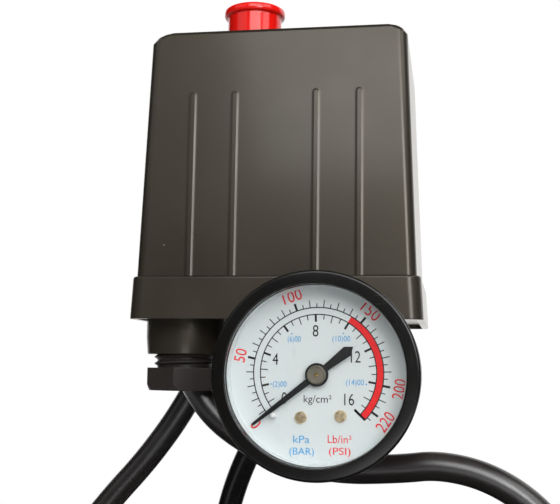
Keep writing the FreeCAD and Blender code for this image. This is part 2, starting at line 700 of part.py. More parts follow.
def support_frame():
    half = FRAME_FOOT / 2
    foot = box(-half, half, -half, half, FLOOR_TOP, FLOOR_TOP + FRAME_T)
    foot = foot.cut(cyl(PISTON_HOLE_R, V(0, 0, FLOOR_TOP), FRAME_T))
    neck = UPRIGHT_NECK_W / 2
    back = UPRIGHT_FRONT + UPRIGHT_WIDE
    outline = [(UPRIGHT_FRONT, FLOOR_TOP), (back, FLOOR_TOP), (back, UPRIGHT_SHOULDER - 4),
               (neck, UPRIGHT_SHOULDER + 4), (neck, FRAME_TOP_Z), (-neck, FRAME_TOP_Z),
               (-neck, UPRIGHT_SHOULDER), (UPRIGHT_FRONT, UPRIGHT_SHOULDER - 3)]
    frame = foot
    for x in (-FRAME_UPRIGHT_X - FRAME_T, FRAME_UPRIGHT_X):
        upright = polygon([V(x, y, z) for y, z in outline]).extrude(V(FRAME_T, 0, 0))
        frame = frame.fuse(upright.cut(cyl(LEVER_PIN_R + SEAT_GAP, V(x, LEVER_PIVOT_Y, LEVER_PIVOT_Z), FRAME_T, X_AXIS)))
    for x, y in clamp_screw_places():
        hole_h = FRAME_T + CLAMP_STICK_OUT + SEAT_GAP
        frame = frame.cut(cyl(CLAMP_SCREW_R + THREAD_GAP, V(x, y, FLOOR_TOP), hole_h))
    bridge = box(BRIDGE_LEFT, FRAME_UPRIGHT_X + FRAME_T, -neck, neck, BRIDGE_Z, FRAME_TOP_Z)
    bridge = bridge.cut(cyl(STEM_R + RUN_GAP, V(KNOB_X, 0, BRIDGE_Z), FRAME_T))
    bridge = bridge.cut(cyl(ADJUSTER_SCREW_R + THREAD_GAP, V(0, 0, BRIDGE_Z), FRAME_T))
    return frame.fuse(bridge).removeSplitter()


def lever_pin():
    reach = FRAME_UPRIGHT_X + FRAME_T + 1.0
    return cyl(LEVER_PIN_R, V(-reach, LEVER_PIVOT_Y, LEVER_PIVOT_Z), 2 * reach, X_AXIS)


def lever():
    half = LEVER_W / 2
    plate = box(-half, half, LEVER_FRONT, LEVER_TAIL_BACK, LEVER_Z, LEVER_TOP)
    arm = box(LEVER_ARM_LEFT, -half, LEVER_FRONT, LEVER_FRONT + LEVER_ARM_W, LEVER_Z, LEVER_TOP)
    tail = box(LEVER_TAIL_LEFT, -half, LEVER_TAIL_BACK - LEVER_TAIL_W, LEVER_TAIL_BACK, LEVER_Z, LEVER_TOP)
    body = plate.fuse(arm).fuse(tail)
    for x in (-half, half - LEVER_FLANGE_T):
        flange = box(x, x + LEVER_FLANGE_T, LEVER_FRONT + LEVER_ARM_W, LEVER_PIVOT_Y + 4, LEVER_TOP, LEVER_FLANGE_TOP)
        body = body.fuse(flange)
    return body.cut(cyl(LEVER_PIN_R + RUN_GAP, V(-half, LEVER_PIVOT_Y, LEVER_PIVOT_Z), LEVER_W, X_AXIS)).removeSplitter()


def biarc(start, start_dir, end, end_dir):
    """Two arcs that leave start along start_dir and reach end along end_dir."""
    span = end - start
    both = start_dir + end_dir
    a = both.dot(both) - 4
    b = -2 * span.dot(both)
    c = span.dot(span)
    if abs(a) < 1e-9:
        d = -c / b
    else:
        d = (-b - math.sqrt(b * b - 4 * a * c)) / (2 * a)
    corner_1 = start + start_dir * d
    corner_2 = end - end_dir * d
    joint = (corner_1 + corner_2) * 0.5
    return [tangent_arc(start, corner_1, joint), tangent_arc(joint, corner_2, end)]


def tangent_arc(start, corner, end):
    chord_mid = (start + end) * 0.5
    weight = (start - chord_mid).Length / (start - corner).Length
    return Part.Arc(start, (chord_mid + corner * weight) * (1 / (1 + weight)), end).toShape()


def swept(edges, radius):
    path = Part.Wire(edges)
    first = path.OrderedEdges[0]
    start = first.valueAt(first.FirstParameter)
    direction = first.tangentAt(first.FirstParameter)
    section = Part.Wire(Part.makeCircle(radius, start, direction))
    return path.makePipeShell([section], True, False)


def range_spring():
    bottom = LEVER_TOP + FREE_GAP + SPRING_WIRE / 2
    rise = (SPRING_TOP - SPRING_WIRE / 2 - bottom) / SPRING_TURNS
    slope = rise / (2 * math.pi * SPRING_R)
    edges = []
    for quarter in range(4 * SPRING_TURNS):
        ends = []
        for step in (quarter, quarter + 1):
            a = math.pi / 2 * step
            point = V(SPRING_R * math.cos(a), SPRING_R * math.sin(a), bottom + rise * step / 4)
            tangent = V(-math.sin(a), math.cos(a), slope).normalize()
            ends.append((point, tangent))
        edges += biarc(ends[0][0], ends[0][1], ends[1][0], ends[1][1])
    return swept(edges, SPRING_WIRE / 2)


def spring_adjuster():
    plate_z = SPRING_TOP + SEAT_GAP
    return ring(ADJUSTER_R, ADJUSTER_SCREW_R + THREAD_GAP, V(0, 0, plate_z), ADJUSTER_T)


def adjusting_screw():
    screw = cyl(ADJUSTER_SCREW_R, V(0, 0, ADJUSTER_SCREW_Z), ADJUSTER_SCREW_TOP - ADJUSTER_SCREW_Z)
    nut = hexagon(ADJUSTER_NUT_AF, V(0, 0, FRAME_TOP_Z), ADJUSTER_NUT_H)
    return screw.fuse(nut)


# Contacts

def contact_rows():
    return [CONTACT_PITCH * (i - 1.5) for i in range(4)]


def terminal_block():
    block = box(BLOCK_X0, BLOCK_X1, -BLOCK_HALF_Y, BLOCK_HALF_Y, FLOOR_TOP, BLOCK_TOP)
    for y in (-CONTACT_PITCH, 0, CONTACT_PITCH):
        block = block.fuse(box(BLOCK_X0, BLOCK_X0 + 5.5, y - BARRIER_T / 2, y + BARRIER_T / 2,
                               BLOCK_TOP, BLOCK_TOP + BARRIER_H))
    for y in guide_rows():
        block = block.fuse(cyl(GUIDE_R, V(guide_x(), y, FLOOR_TOP), GUIDE_TOP - FLOOR_TOP))
    for y in contact_rows():
        block = block.cut(cyl(CONTACT_SCREW_R + THREAD_GAP, V(terminal_x(), y, BLOCK_TOP - 4), 4))
    for y in (-GLAND_Y, GLAND_Y):
        turret = cyl(TURRET_R + SEAT_GAP, V(GLAND_X, y, FLOOR_TOP), TURRET_TOP + SEAT_GAP - FLOOR_TOP)
        block = block.cut(turret)
    return block.removeSplitter()


def terminal_x():
    return BLOCK_X0 + TERMINAL_INSET


def guide_x():
    return BLOCK_X1 - GUIDE_INSET_X


def guide_rows():
    return (GUIDE_INSET_Y - BLOCK_HALF_Y, BLOCK_HALF_Y - GUIDE_INSET_Y)


def fixed_contacts():
    strips = []
    for y in contact_rows():
        half = CONTACT_STRIP_W / 2
        strip = box(BLOCK_X0 + 0.4, BLOCK_X1 - 0.6, y - half, y + half, BLOCK_TOP, BLOCK_TOP + CONTACT_STRIP_T)
        strip = strip.cut(cyl(CONTACT_SCREW_R + SEAT_GAP, V(terminal_x(), y, BLOCK_TOP), CONTACT_STRIP_T))
        for gy in guide_rows():
            strip = strip.cut(cyl(GUIDE_R + SEAT_GAP, V(guide_x(), gy, BLOCK_TOP), CONTACT_STRIP_T))
        tip = cyl(CONTACT_TIP_R, V(contact_tip_x(), y, BLOCK_TOP + CONTACT_STRIP_T), CONTACT_TIP_H)
        strips.append(strip.fuse(tip))
    return Part.makeCompound(strips)


def contact_tip_x():
    return BLOCK_X1 - TIP_INSET


def terminal_screws():
    screws = []
    head_z = BLOCK_TOP + CONTACT_STRIP_T
    for y in contact_rows():
        centre = V(terminal_x(), y, head_z)
        head = cyl(CONTACT_SCREW_R + 0.5, centre, 1.6)
        head = head.cut(box(centre.x - 3, centre.x + 3, y - 0.35, y + 0.35, head_z + 0.8, head_z + 2))
        screws.append(head.fuse(cyl(CONTACT_SCREW_R, centre - V(0, 0, 4.5), 4.5)))
    return Part.makeCompound(screws)


def contact_carrier():
    """Moulded bar that the lever's arm lifts; it slides on the block's two guide posts."""
    bar = box(LEVER_ARM_LEFT, BLOCK_X1, CARRIER_FRONT, CARRIER_BACK, carrier_z(), carrier_z() + CARRIER_T)
    for y in guide_rows():
        bar = bar.cut(cyl(GUIDE_R + RUN_GAP, V(guide_x(), y, carrier_z()), CARRIER_T))
    for side in (-1, 1):
        y = side * CONTACT_PITCH
        bar = bar.fuse(box(contact_tip_x() - 1, contact_tip_x() + 1, y - 1, y + 1, bridge_bar_top(), carrier_z()))
    return bar.removeSplitter()


def carrier_z():
    return LEVER_TOP + FREE_GAP


def bridge_bar_top():
    return BLOCK_TOP + CONTACT_STRIP_T + CONTACT_TIP_H + FREE_GAP + CONTACT_TIP_H + BRIDGE_BAR_T


def moving_contacts():
    bars = []
    reach = CONTACT_PITCH / 2
    bottom = bridge_bar_top() - BRIDGE_BAR_T
    for side in (-1, 1):
        y = side * CONTACT_PITCH
        half = CONTACT_TIP_R + 0.1
        bar = box(contact_tip_x() - half, contact_tip_x() + half, y - reach - half, y + reach + half,
                  bottom, bridge_bar_top())
        for tip_y in (y - reach, y + reach):
            bar = bar.fuse(cyl(CONTACT_TIP_R, V(contact_tip_x(), tip_y, bottom - CONTACT_TIP_H), CONTACT_TIP_H))
        bars.append(bar)
    return Part.makeCompound(bars)


# Unloader valve

def unloader_valve():
    body = cyl(VALVE_BODY_R, V(VALVE_X, VALVE_Y, VALVE_NUT_TOP + 1), FLOOR_BOTTOM - VALVE_NUT_TOP - 1)
    thread = cyl(VALVE_THREAD_R, V(VALVE_X, VALVE_Y, FLOOR_BOTTOM), FLOOR_TOP - FLOOR_BOTTOM + VALVE_THREAD_OUT)
    stem = cyl(VALVE_STEM_R, V(VALVE_X, VALVE_Y, VALVE_STEM_BOTTOM), VALVE_NUT_TOP + 1 - VALVE_STEM_BOTTOM)
    body = body.fuse(thread).fuse(stem)
    body = body.cut(cyl(VALVE_PIN_R + RUN_GAP, V(VALVE_X, VALVE_Y, VALVE_STEM_BOTTOM), FLOOR_TOP + 5 - VALVE_STEM_BOTTOM))
    return body.cut(cyl(UNLOADER_BORE / 2, V(VALVE_X, VALVE_Y, VALVE_STEM_BOTTOM), 5))


def valve_pin():
    top = LEVER_Z - FREE_GAP
    pin = cyl(VALVE_PIN_R, V(VALVE_X, VALVE_Y, VALVE_PIN_BOTTOM), top - VALVE_PIN_BOTTOM)
    return pin.fuse(cyl(VALVE_PIN_HEAD_R, V(VALVE_X, VALVE_Y, top - VALVE_PIN_HEAD_T), VALVE_PIN_HEAD_T))


def compression_nut(mouth, axis, seat_depth):
    """Nut of a compression joint: hexagon with a round shoulder, bored for the tube."""
    nut = hexagon_along(VALVE_NUT_AF, mouth, VALVE_NUT_H, axis)
    nut = nut.fuse(cyl(VALVE_NUT_AF / 2 - 0.2, mouth + axis * VALVE_NUT_H, NUT_SHOULDER, axis))
    nut = nut.cut(cyl(UNLOADER_D / 2 + SEAT_GAP, mouth, VALVE_NUT_H + NUT_SHOULDER, axis))
    return nut.cut(cyl(VALVE_STEM_R + THREAD_GAP, mouth, seat_depth, axis)).removeSplitter()


def valve_nut():
    mouth = V(VALVE_X, VALVE_Y, VALVE_NUT_TOP)
    return compression_nut(mouth, Z_AXIS * -1, VALVE_NUT_TOP - VALVE_STEM_BOTTOM)


# Gauge

def case_profile(front):
    """Gauge pieces are turned profiles whose height runs back from the bezel's front face."""
    return front - GAUGE_FRONT


def turned_gauge(profile):
    return turned(profile, V(0, GAUGE_FRONT, GAUGE_Z), Y_AXIS)


def gauge_bezel():
    back = case_profile(BEZEL_BACK)
    edge = BEZEL_EDGE_R
    inner = CASE_SPIGOT_R + SEAT_GAP
    front_edge = corner_arc(BEZEL_R - edge, edge, edge, 270, 360)
    lip_edge = corner_arc(BEZEL_OPEN_R + 0.5, 0.5, 0.5, 180, 270)
    profile = [(BEZEL_OPEN_R, BEZEL_LIP_T), lip_edge, front_edge, (BEZEL_R, back), (inner, back),
               (inner, BEZEL_LIP_T)]
    return turned_gauge(profile)


def lens_front():
    return GAUGE_FRONT + BEZEL_LIP_T + SEAT_GAP


def gasket_front():
    return lens_front() + LENS_T


def gauge_case():
    spigot = case_profile(lens_front())
    rabbet = case_profile(gasket_front() + GASKET_T)
    shoulder = case_profile(CASE_SHOULDER)
    back = case_profile(CASE_BACK)
    ledge = case_profile(DIAL_FACE + DIAL_T)
    round_r = CASE_BACK_EDGE_R
    hole = SOCKET_SHOULDER_R + SEAT_GAP
    edge = corner_arc(CASE_R - round_r, back - round_r, round_r, 0, 90)
    inner = DIAL_LEDGE_R
    profile = [(LENS_R + SEAT_GAP, spigot), (CASE_SPIGOT_R, spigot), (CASE_SPIGOT_R, shoulder),
               (CASE_R, shoulder), edge, (hole, back), (hole, back - CASE_BACK_T),
               (inner, back - CASE_BACK_T), (inner, ledge), (DIAL_R + SEAT_GAP, ledge),
               (DIAL_R + SEAT_GAP, rabbet), (LENS_R + SEAT_GAP, rabbet)]
    return turned_gauge(profile)


def gauge_lens():
    return cyl(LENS_R, gauge_point(0, 0, lens_front()), LENS_T, Y_AXIS)


def lens_gasket():
    return ring(LENS_R, GASKET_IN_R, gauge_point(0, 0, gasket_front()), GASKET_T, Y_AXIS)


def gauge_dial():
    plate = cyl(DIAL_R, gauge_point(0, 0, DIAL_FACE), DIAL_T, Y_AXIS)
    plate = plate.cut(cyl(DIAL_HOLE_R, gauge_point(0, 0, DIAL_FACE), DIAL_T, Y_AXIS))
    for x, z in DIAL_SCREW_AT:
        plate = plate.cut(cyl(DIAL_SCREW_SHANK_R + SEAT_GAP, gauge_point(x, z, DIAL_FACE), DIAL_T, Y_AXIS))
    x, z = STOP_PIN_AT
    return plate.cut(cyl(STOP_PIN_R, gauge_point(x, z, DIAL_FACE), DIAL_T, Y_AXIS))


def stop_pin():
    x, z = STOP_PIN_AT
    return cyl(STOP_PIN_R, gauge_point(x, z, DIAL_FACE - POINTER_GAP - POINTER_T - 0.4),
               POINTER_GAP + POINTER_T + 0.4 + DIAL_T, Y_AXIS)


def dial_screws():
    screws = []
    for x, z in DIAL_SCREW_AT:
        head = gauge_point(x, z, DIAL_FACE - DIAL_SCREW_HEAD_H)
        dome = cyl(DIAL_SCREW_R, head, DIAL_SCREW_HEAD_H, Y_AXIS)
        dome = dome.common(Part.makeSphere(2.2, gauge_point(x, z, DIAL_FACE - DIAL_SCREW_HEAD_H + 2.2)))
        slot = box(x - 2, x + 2, head.y - 1, head.y + 0.4, GAUGE_Z + z - 0.2, GAUGE_Z + z + 0.2)
        shank = cyl(DIAL_SCREW_SHANK_R, gauge_point(x, z, DIAL_FACE), DIAL_SCREW_SHANK, Y_AXIS)
        screws.append(dome.cut(slot).fuse(shank))
    return Part.makeCompound(screws)


def pointer():
    """Pointer at its zero, with a pointed counterweight behind the hub."""
    a = math.radians(POINTER_ZERO)
    along = (math.cos(a), math.sin(a))
    across = (-math.sin(a), math.cos(a))

    def at(r, side):
        return (along[0] * r + across[0] * side, along[1] * r + across[1] * side)
    outline = [at(POINTER_TIP_R, -POINTER_TIP_HALF), at(POINTER_TIP_R, POINTER_TIP_HALF),
               at(0, POINTER_ROOT_HALF), at(0, POINTER_TAIL_HALF),
               at(-POINTER_TAIL_SHOULDER, POINTER_TAIL_END_HALF), at(-POINTER_TAIL_R, 0),
               at(-POINTER_TAIL_SHOULDER, -POINTER_TAIL_END_HALF), at(0, -POINTER_TAIL_HALF),
               at(0, -POINTER_ROOT_HALF)]
    front = DIAL_FACE - POINTER_GAP - POINTER_T
    blade = gauge_prism(outline, front, POINTER_T)
    hub = cyl(POINTER_HUB_R, gauge_point(0, 0, front), POINTER_T, Y_AXIS)
    return blade.fuse(hub).removeSplitter()


def pointer_cap():
    front = DIAL_FACE - POINTER_GAP - POINTER_T
    edge = 0.2
    profile = [(0, 0), (CAP_R - edge, 0), (CAP_R, edge), (CAP_R, CAP_H), (0, CAP_H)]
    return turned(profile, gauge_point(0, 0, front - CAP_H), Y_AXIS)


def involute(base_r, radius, side, offset):
    """Point of an involute flank at a radius, turned by offset, on one side of the tooth."""
    t = math.sqrt(max((radius / base_r) ** 2 - 1, 0))
    a = side * (offset - (t - math.atan(t)))
    return a


def gear_outline(teeth_all, teeth_cut, middle, root_share):
    """Outline of a spur gear, or of teeth_cut of its teeth about the angle middle.

    root_share is the tooth's half width at its root, in half pitches.
    """
    pitch_r = MODULE * teeth_all / 2
    base_r = pitch_r * math.cos(math.radians(PRESSURE_ANGLE))
    tip_r = pitch_r + MODULE * 0.9
    root_r = pitch_r - MODULE - TOOTH_CLEARANCE
    inv = math.tan(math.radians(PRESSURE_ANGLE)) - math.radians(PRESSURE_ANGLE)
    half = math.pi / (2 * teeth_all) - BACKLASH / (2 * pitch_r)
    offset = half + inv
    start_r = max(base_r, root_r + 0.02)
    radii = [start_r, (start_r + tip_r) / 2, tip_r]
    points = []
    for i in range(teeth_cut):
        centre = middle + (i - (teeth_cut - 1) / 2) * 2 * math.pi / teeth_all
        half_space = math.pi / teeth_all
        points.append((root_r, centre - half_space * root_share))
        points += [(r, centre + involute(base_r, r, -1, offset)) for r in radii]
        points += [(r, centre + involute(base_r, r, 1, offset)) for r in reversed(radii)]
        points.append((root_r, centre + half_space * root_share))
    return [(r * math.cos(a), r * math.sin(a)) for r, a in points]


def sector_rest_angle():
    """The sector stands half its travel to the clockwise side of the pinion at zero."""
    return math.pi / 2 - math.radians(SECTOR_SWEEP / 2)


def sector_gear():
    middle = sector_rest_angle()
    outline = gear_outline(SECTOR_TEETH, SECTOR_CUT_TEETH, middle, ROOT_SHARE_SECTOR)
    px, pz = SECTOR_PIVOT
    hub = SECTOR_HUB_R
    side = math.pi / 2
    points = outline + [(hub * math.cos(middle + side), hub * math.sin(middle + side)),
                        (hub * math.cos(middle - side), hub * math.sin(middle - side))]
    body = gauge_prism([(px + x, pz + z) for x, z in points], SECTOR_FRONT, SECTOR_T)
    body = body.fuse(cyl(hub, gauge_point(px, pz, SECTOR_FRONT), SECTOR_T, Y_AXIS))
    a = tail_angle()
    tail_x = px + TAIL_R * math.cos(a)
    tail_z = pz + TAIL_R * math.sin(a)
    across = (-math.sin(a) * TAIL_HALF, math.cos(a) * TAIL_HALF)
    tail = gauge_prism([(px + across[0], pz + across[1]), (px - across[0], pz - across[1]),
                        (tail_x - across[0], tail_z - across[1]), (tail_x + across[0], tail_z + across[1])],
                       SECTOR_FRONT, SECTOR_T)
    body = body.fuse(tail).fuse(cyl(TAIL_HALF, gauge_point(tail_x, tail_z, SECTOR_FRONT), SECTOR_T, Y_AXIS))
    pin_length = 1.5 * LINK_GAP + LINK_T
    pin = cyl(LINK_PIN_R, gauge_point(tail_x, tail_z, SECTOR_FRONT + SECTOR_T), pin_length, Y_AXIS)
    shaft_front = PLATE_FRONT_Y
    shaft = cyl(ARBOR_R, gauge_point(px, pz, shaft_front), PLATE_BACK_Y + PLATE_T - shaft_front, Y_AXIS)
    return body.fuse(pin).fuse(shaft).removeSplitter()


def tail_angle():
    """The tail stands square to the link at half travel."""
    return math.radians(LINK_TRAVEL_UP - 90 - SECTOR_SWEEP / 2)


def pointer_arbor():
    """Pinion on the arbor that carries the pointer; a tooth space faces the sector's first tooth."""
    px, pz = SECTOR_PIVOT
    tooth = 2 * math.pi / SECTOR_TEETH
    lead = ((sector_rest_angle() - math.pi / 2) / tooth + (SECTOR_CUT_TEETH - 1) / 2) % 1.0
    turn = -math.pi / 2 - lead * 2 * math.pi / PINION_TEETH
    outline = gear_outline(PINION_TEETH, PINION_TEETH, turn, ROOT_SHARE_PINION)
    wheel = gauge_prism(outline, PINION_FRONT, PINION_LENGTH)
    front = DIAL_FACE - POINTER_GAP
    shaft = cyl(ARBOR_R, gauge_point(0, 0, front), PLATE_BACK_Y + PLATE_T - front, Y_AXIS)
    return wheel.fuse(shaft).removeSplitter()


def movement_frame():
    """Two plates on pillars, bored for the arbor and the sector's shaft."""
    plates = []
    for y in (PLATE_FRONT_Y, PLATE_BACK_Y):
        plate = box(-PLATE_HALF_X, PLATE_HALF_X, y, y + PLATE_T, GAUGE_Z + PLATE_BOTTOM_Z, GAUGE_Z + PLATE_TOP_Z)
        for x, z in ((0, 0), SECTOR_PIVOT):
            plate = plate.cut(cyl(ARBOR_R + RUN_GAP, gauge_point(x, z, y), PLATE_T, Y_AXIS))
        plates.append(plate)
    body = plates[0].fuse(plates[1])
    gap = PLATE_BACK_Y - PLATE_FRONT_Y - PLATE_T
    for x, z in ((-PLATE_HALF_X + 1.4, PLATE_TOP_Z - 1.4), (-PLATE_HALF_X + 1.4, PLATE_BOTTOM_Z + 1.4),
                 (PLATE_HALF_X - 1.4, PLATE_TOP_Z - 1.4)):
        body = body.fuse(cyl(PILLAR_R, gauge_point(x, z, PLATE_FRONT_Y + PLATE_T), gap, Y_AXIS))
    for x, z in DIAL_SCREW_AT:
        body = body.fuse(cyl(DIAL_SCREW_R, gauge_point(x, z, DIAL_FACE + DIAL_T), PLATE_FRONT_Y - DIAL_FACE - DIAL_T,
                             Y_AXIS))
        body = body.cut(cyl(DIAL_SCREW_SHANK_R + THREAD_GAP, gauge_point(x, z, DIAL_FACE + DIAL_T),
                            DIAL_SCREW_SHANK, Y_AXIS))
    seat = SOCKET_FOOT_FRONT
    for x in (-5.0, 5.0):
        body = body.fuse(box(x - 1.2, x + 1.2, PLATE_BACK_Y + PLATE_T, seat, GAUGE_Z - 1.6, GAUGE_Z + 1.6))
    return body.removeSplitter()


def gauge_socket():
    """Brass socket: foot inside the case, shoulder, spanner square and thread."""
    foot = cyl(SOCKET_FOOT_R + 2.0, gauge_point(0, 0, SOCKET_FOOT_FRONT), CASE_BACK - CASE_BACK_T - SOCKET_FOOT_FRONT,
               Y_AXIS)
    shoulder = cyl(SOCKET_SHOULDER_R, gauge_point(0, 0, CASE_BACK - CASE_BACK_T - 1),
                   SOCKET_SHOULDER_BACK - CASE_BACK + CASE_BACK_T + 1, Y_AXIS)
    half = SOCKET_SQUARE / 2
    square = box(-half, half, SOCKET_SHOULDER_BACK, SOCKET_SQUARE_BACK, GAUGE_Z - half, GAUGE_Z + half)
    thread_end = -BLOCK_W / 2 + PORT_DEPTH - 0.4
    thread = cyl(PORT_R - THREAD_GAP, gauge_point(0, 0, SOCKET_SQUARE_BACK), thread_end - SOCKET_SQUARE_BACK, Y_AXIS)
    body = foot.fuse(shoulder).fuse(square).fuse(thread)
    a = math.radians(TUBE_START)
    outer = TUBE_RING_R + TUBE_SECTION_R / 2 + 1.0
    across = (-math.sin(a), math.cos(a))
    width = TUBE_ARM_W
    points = [(0, 0), (outer * math.cos(a), outer * math.sin(a)),
              (outer * math.cos(a) + across[0] * width, outer * math.sin(a) + across[1] * width),
              (across[0] * width, across[1] * width)]
    arm = gauge_prism(points, SOCKET_FOOT_FRONT, CASE_BACK - CASE_BACK_T - 1 - SOCKET_FOOT_FRONT)
    body = body.fuse(arm)
    bore = cyl(SOCKET_BORE_R, gauge_point(0, 0, CASE_BACK - 4), thread_end - CASE_BACK + 4, Y_AXIS)
    return body.cut(bore).removeSplitter()


def bourdon_tube():
    """Flattened tube bent to a C, closed at its tip by a lug for the link."""
    y0 = TUBE_FRONT
    section = [V(TUBE_RING_R - TUBE_SECTION_R / 2, y0, 0), V(TUBE_RING_R + TUBE_SECTION_R / 2, y0, 0),
               V(TUBE_RING_R + TUBE_SECTION_R / 2, y0 + TUBE_SECTION_Y, 0),
               V(TUBE_RING_R - TUBE_SECTION_R / 2, y0 + TUBE_SECTION_Y, 0)]
    tube = polygon(section).revolve(V(0, 0, 0), Y_AXIS, TUBE_SWEEP)
    tube.rotate(V(0, 0, 0), Y_AXIS, -TUBE_START)
    tube.translate(V(0, 0, GAUGE_Z))
    x, z = tip_place()
    pin_front = SECTOR_FRONT + SECTOR_T + 2 * LINK_GAP + LINK_T
    return tube.fuse(cyl(TIP_PIN_R, gauge_point(x, z, pin_front), TUBE_FRONT - pin_front + 0.5, Y_AXIS))


def tip_place():
    a = math.radians(TUBE_START - TUBE_SWEEP)
    return TUBE_RING_R * math.cos(a), TUBE_RING_R * math.sin(a)


def movement_link():
    """Strip from the tube's tip to the sector's tail; its lower eye is bored wide."""
    y = SECTOR_FRONT + SECTOR_T + LINK_GAP
    px, pz = SECTOR_PIVOT
    a = tail_angle()
    up = math.radians(LINK_TRAVEL_UP)
    sag = TAIL_R * (1 - math.cos(math.radians(SECTOR_SWEEP / 2))) / 2
    low = (px + TAIL_R * math.cos(a) + sag * math.sin(up), pz + TAIL_R * math.sin(a) - sag * math.cos(up))
    high = tip_place()
    dx = high[0] - low[0]
    dz = high[1] - low[1]
    size = math.hypot(dx, dz)
    across = (-dz / size * 0.7, dx / size * 0.7)
    strip = gauge_prism([(low[0] + across[0], low[1] + across[1]), (low[0] - across[0], low[1] - across[1]),
                         (high[0] - across[0], high[1] - across[1]), (high[0] + across[0], high[1] + across[1])],
                        y, LINK_T)
    for x, z in (low, high):
        strip = strip.fuse(cyl(LINK_EYE_R, gauge_point(x, z, y), LINK_T, Y_AXIS))
    strip = strip.cut(cyl(LINK_SLOT_R, gauge_point(low[0], low[1], y), LINK_T, Y_AXIS))
    return strip.removeSplitter()


# Leads, tube and plug

def route_edges(points):
    """Straight runs joined by tangent arcs; returns the edges, their length and the radii."""
    points = [V(*p) for p in points]
    runs = [(b - a).Length for a, b in zip(points, points[1:])]
    edges = []
    radii = []
    start = points[0]
    for i in range(1, len(points) - 1):
        before = (points[i] - points[i - 1]).normalize()
        after = (points[i + 1] - points[i]).normalize()
        reach = 0.45 * min(runs[i - 1], runs[i])
        half_turn = before.getAngle(after) / 2
        radii.append(reach / math.tan(half_turn))
        enter = points[i] - before * reach
        leave = points[i] + after * reach
        edges.append(Part.LineSegment(start, enter).toShape())
        edges.append(tangent_arc(enter, points[i], leave))
        start = leave
    edges.append(Part.LineSegment(start, points[-1]).toShape())
    return edges, sum(e.Length for e in edges), radii


def cord(name, points, diameter):
    edges, length, radii = route_edges(points)
    solid = swept(edges, diameter / 2)
    area = math.pi * diameter ** 2 / 4
    print(name, "length", round(length, 1), "volume ratio", round(solid.Volume / (area * length), 4),
          "radii", [round(r, 1) for r in radii])
    return solid


MOTOR_ROUTE = [
    (-44.9, -14.5, 18.0), (-39.6, -14.6, 8.0), (-30.8, -15.5, -0.6), (-16.2, -17.0, -7.9),
    (1.6, -18.6, -11.4), (20.3, -20.0, -10.4), (30.4, -20.8, -9.0), (42.6, -21.4, -11.2),
    (53.6, -21.7, -17.0), (62.4, -21.6, -25.8), (68.2, -21.2, -36.6), (70.8, -20.4, -49.0),
    (71.3, -19.2, -66.0), (70.2, -17.6, -86.0), (67.8, -16.2, -106.0), (66.6, -15.2, -121.0),
    (66.6, -15.2, -134.0)]

MAINS_ROUTE = [
    (-45.0, 14.5, 18.0), (-48.8, 14.5, 10.6), (-53.6, 14.6, 2.4), (-59.2, 14.6, -5.8),
    (-66.2, 14.4, -14.8), (-75.6, 13.9, -25.2), (-85.6, 13.0, -38.0), (-92.4, 12.1, -51.0),
    (-95.4, 11.6, -61.5), (-96.0, 11.5, -69.4), (-96.0, 11.5, -76.8)]

TAIL_ROUTE = [
    (-96.0, 20.5, -93.2), (-96.0, 20.5, -102.0), (-97.6, 21.8, -113.0), (-97.6, 21.8, -123.0)]

UNLOADER_ROUTE = [
    (VALVE_X, VALVE_Y, VALVE_STEM_BOTTOM), (-24.0, 23.3, 9.6), (-26.4, 23.9, 1.0), (-31.4, 25.4, -9.0),
    (-35.9, 27.2, -18.6), (-39.6, 29.0, -29.5), (-42.4, 30.4, -44.0), (-43.6, 31.4, -64.0),
    (-43.0, 32.4, -90.0), (-40.6, 33.8, -116.0), (-37.6, 35.2, -140.0)]


def coil_edges():
    """Two layers of half turns: spiral in, climb while turning, spiral out again."""
    radius = COIL_R
    centre = COIL_X
    y = COIL_Y - COIL_STEP
    side = -1
    start = V(COIL_X - COIL_R, y, COIL_Z)
    edges = [Part.LineSegment(start + V(0, 0, LEAD_D), start).toShape()]
    total = COIL_HALF_TURNS_IN + 1 + COIL_HALF_TURNS_OUT
    for n in range(total):
        climb = COIL_STEP * 2 if n == COIL_HALF_TURNS_IN else 0.0
        a = V(centre + side * radius, y, COIL_Z)
        top = V(centre, y + climb / 2, COIL_Z + side * radius)
        b = V(centre - side * radius, y + climb, COIL_Z)
        if climb:
            mid_dir = V(-side * math.pi * radius, climb, 0).normalize()
            edges += biarc(a, V(0, 0, side), top, mid_dir)
            edges += biarc(top, mid_dir, b, V(0, 0, -side))
        else:
            edges.append(Part.Arc(a, top, b).toShape())
        y += climb
        radius += -COIL_STEP if n < COIL_HALF_TURNS_IN else COIL_STEP
        centre = b.x + side * radius
        side = -side
    edges.append(Part.LineSegment(b, b - V(0, 0, LEAD_D)).toShape())
    return edges


def mains_coil():
    edges = coil_edges()
    solid = swept(edges, LEAD_R)
    length = sum(e.Length for e in edges)
    print("mains_coil length", round(length, 1), "volume ratio",
          round(solid.Volume / (math.pi * LEAD_R ** 2 * length), 4), "least gap", round(least_gap(edges), 2))
    return solid


def least_gap(edges):
    """Least distance between the coil's own turns, surface to surface, on points along its path."""
    points = []
    along = 0.0
    for e in edges:
        count = max(int(e.Length / 3.0), 2)
        for i in range(count):
            t = e.FirstParameter + (e.LastParameter - e.FirstParameter) * i / count
            points.append((along + e.Length * i / count, e.valueAt(t)))
        along += e.Length
    best = 1e9
    for i, (s, p) in enumerate(points):
        for s2, q in points[i + 1:]:
            if s2 - s > 4 * LEAD_D:
                best = min(best, (p - q).Length - LEAD_D)
    return best


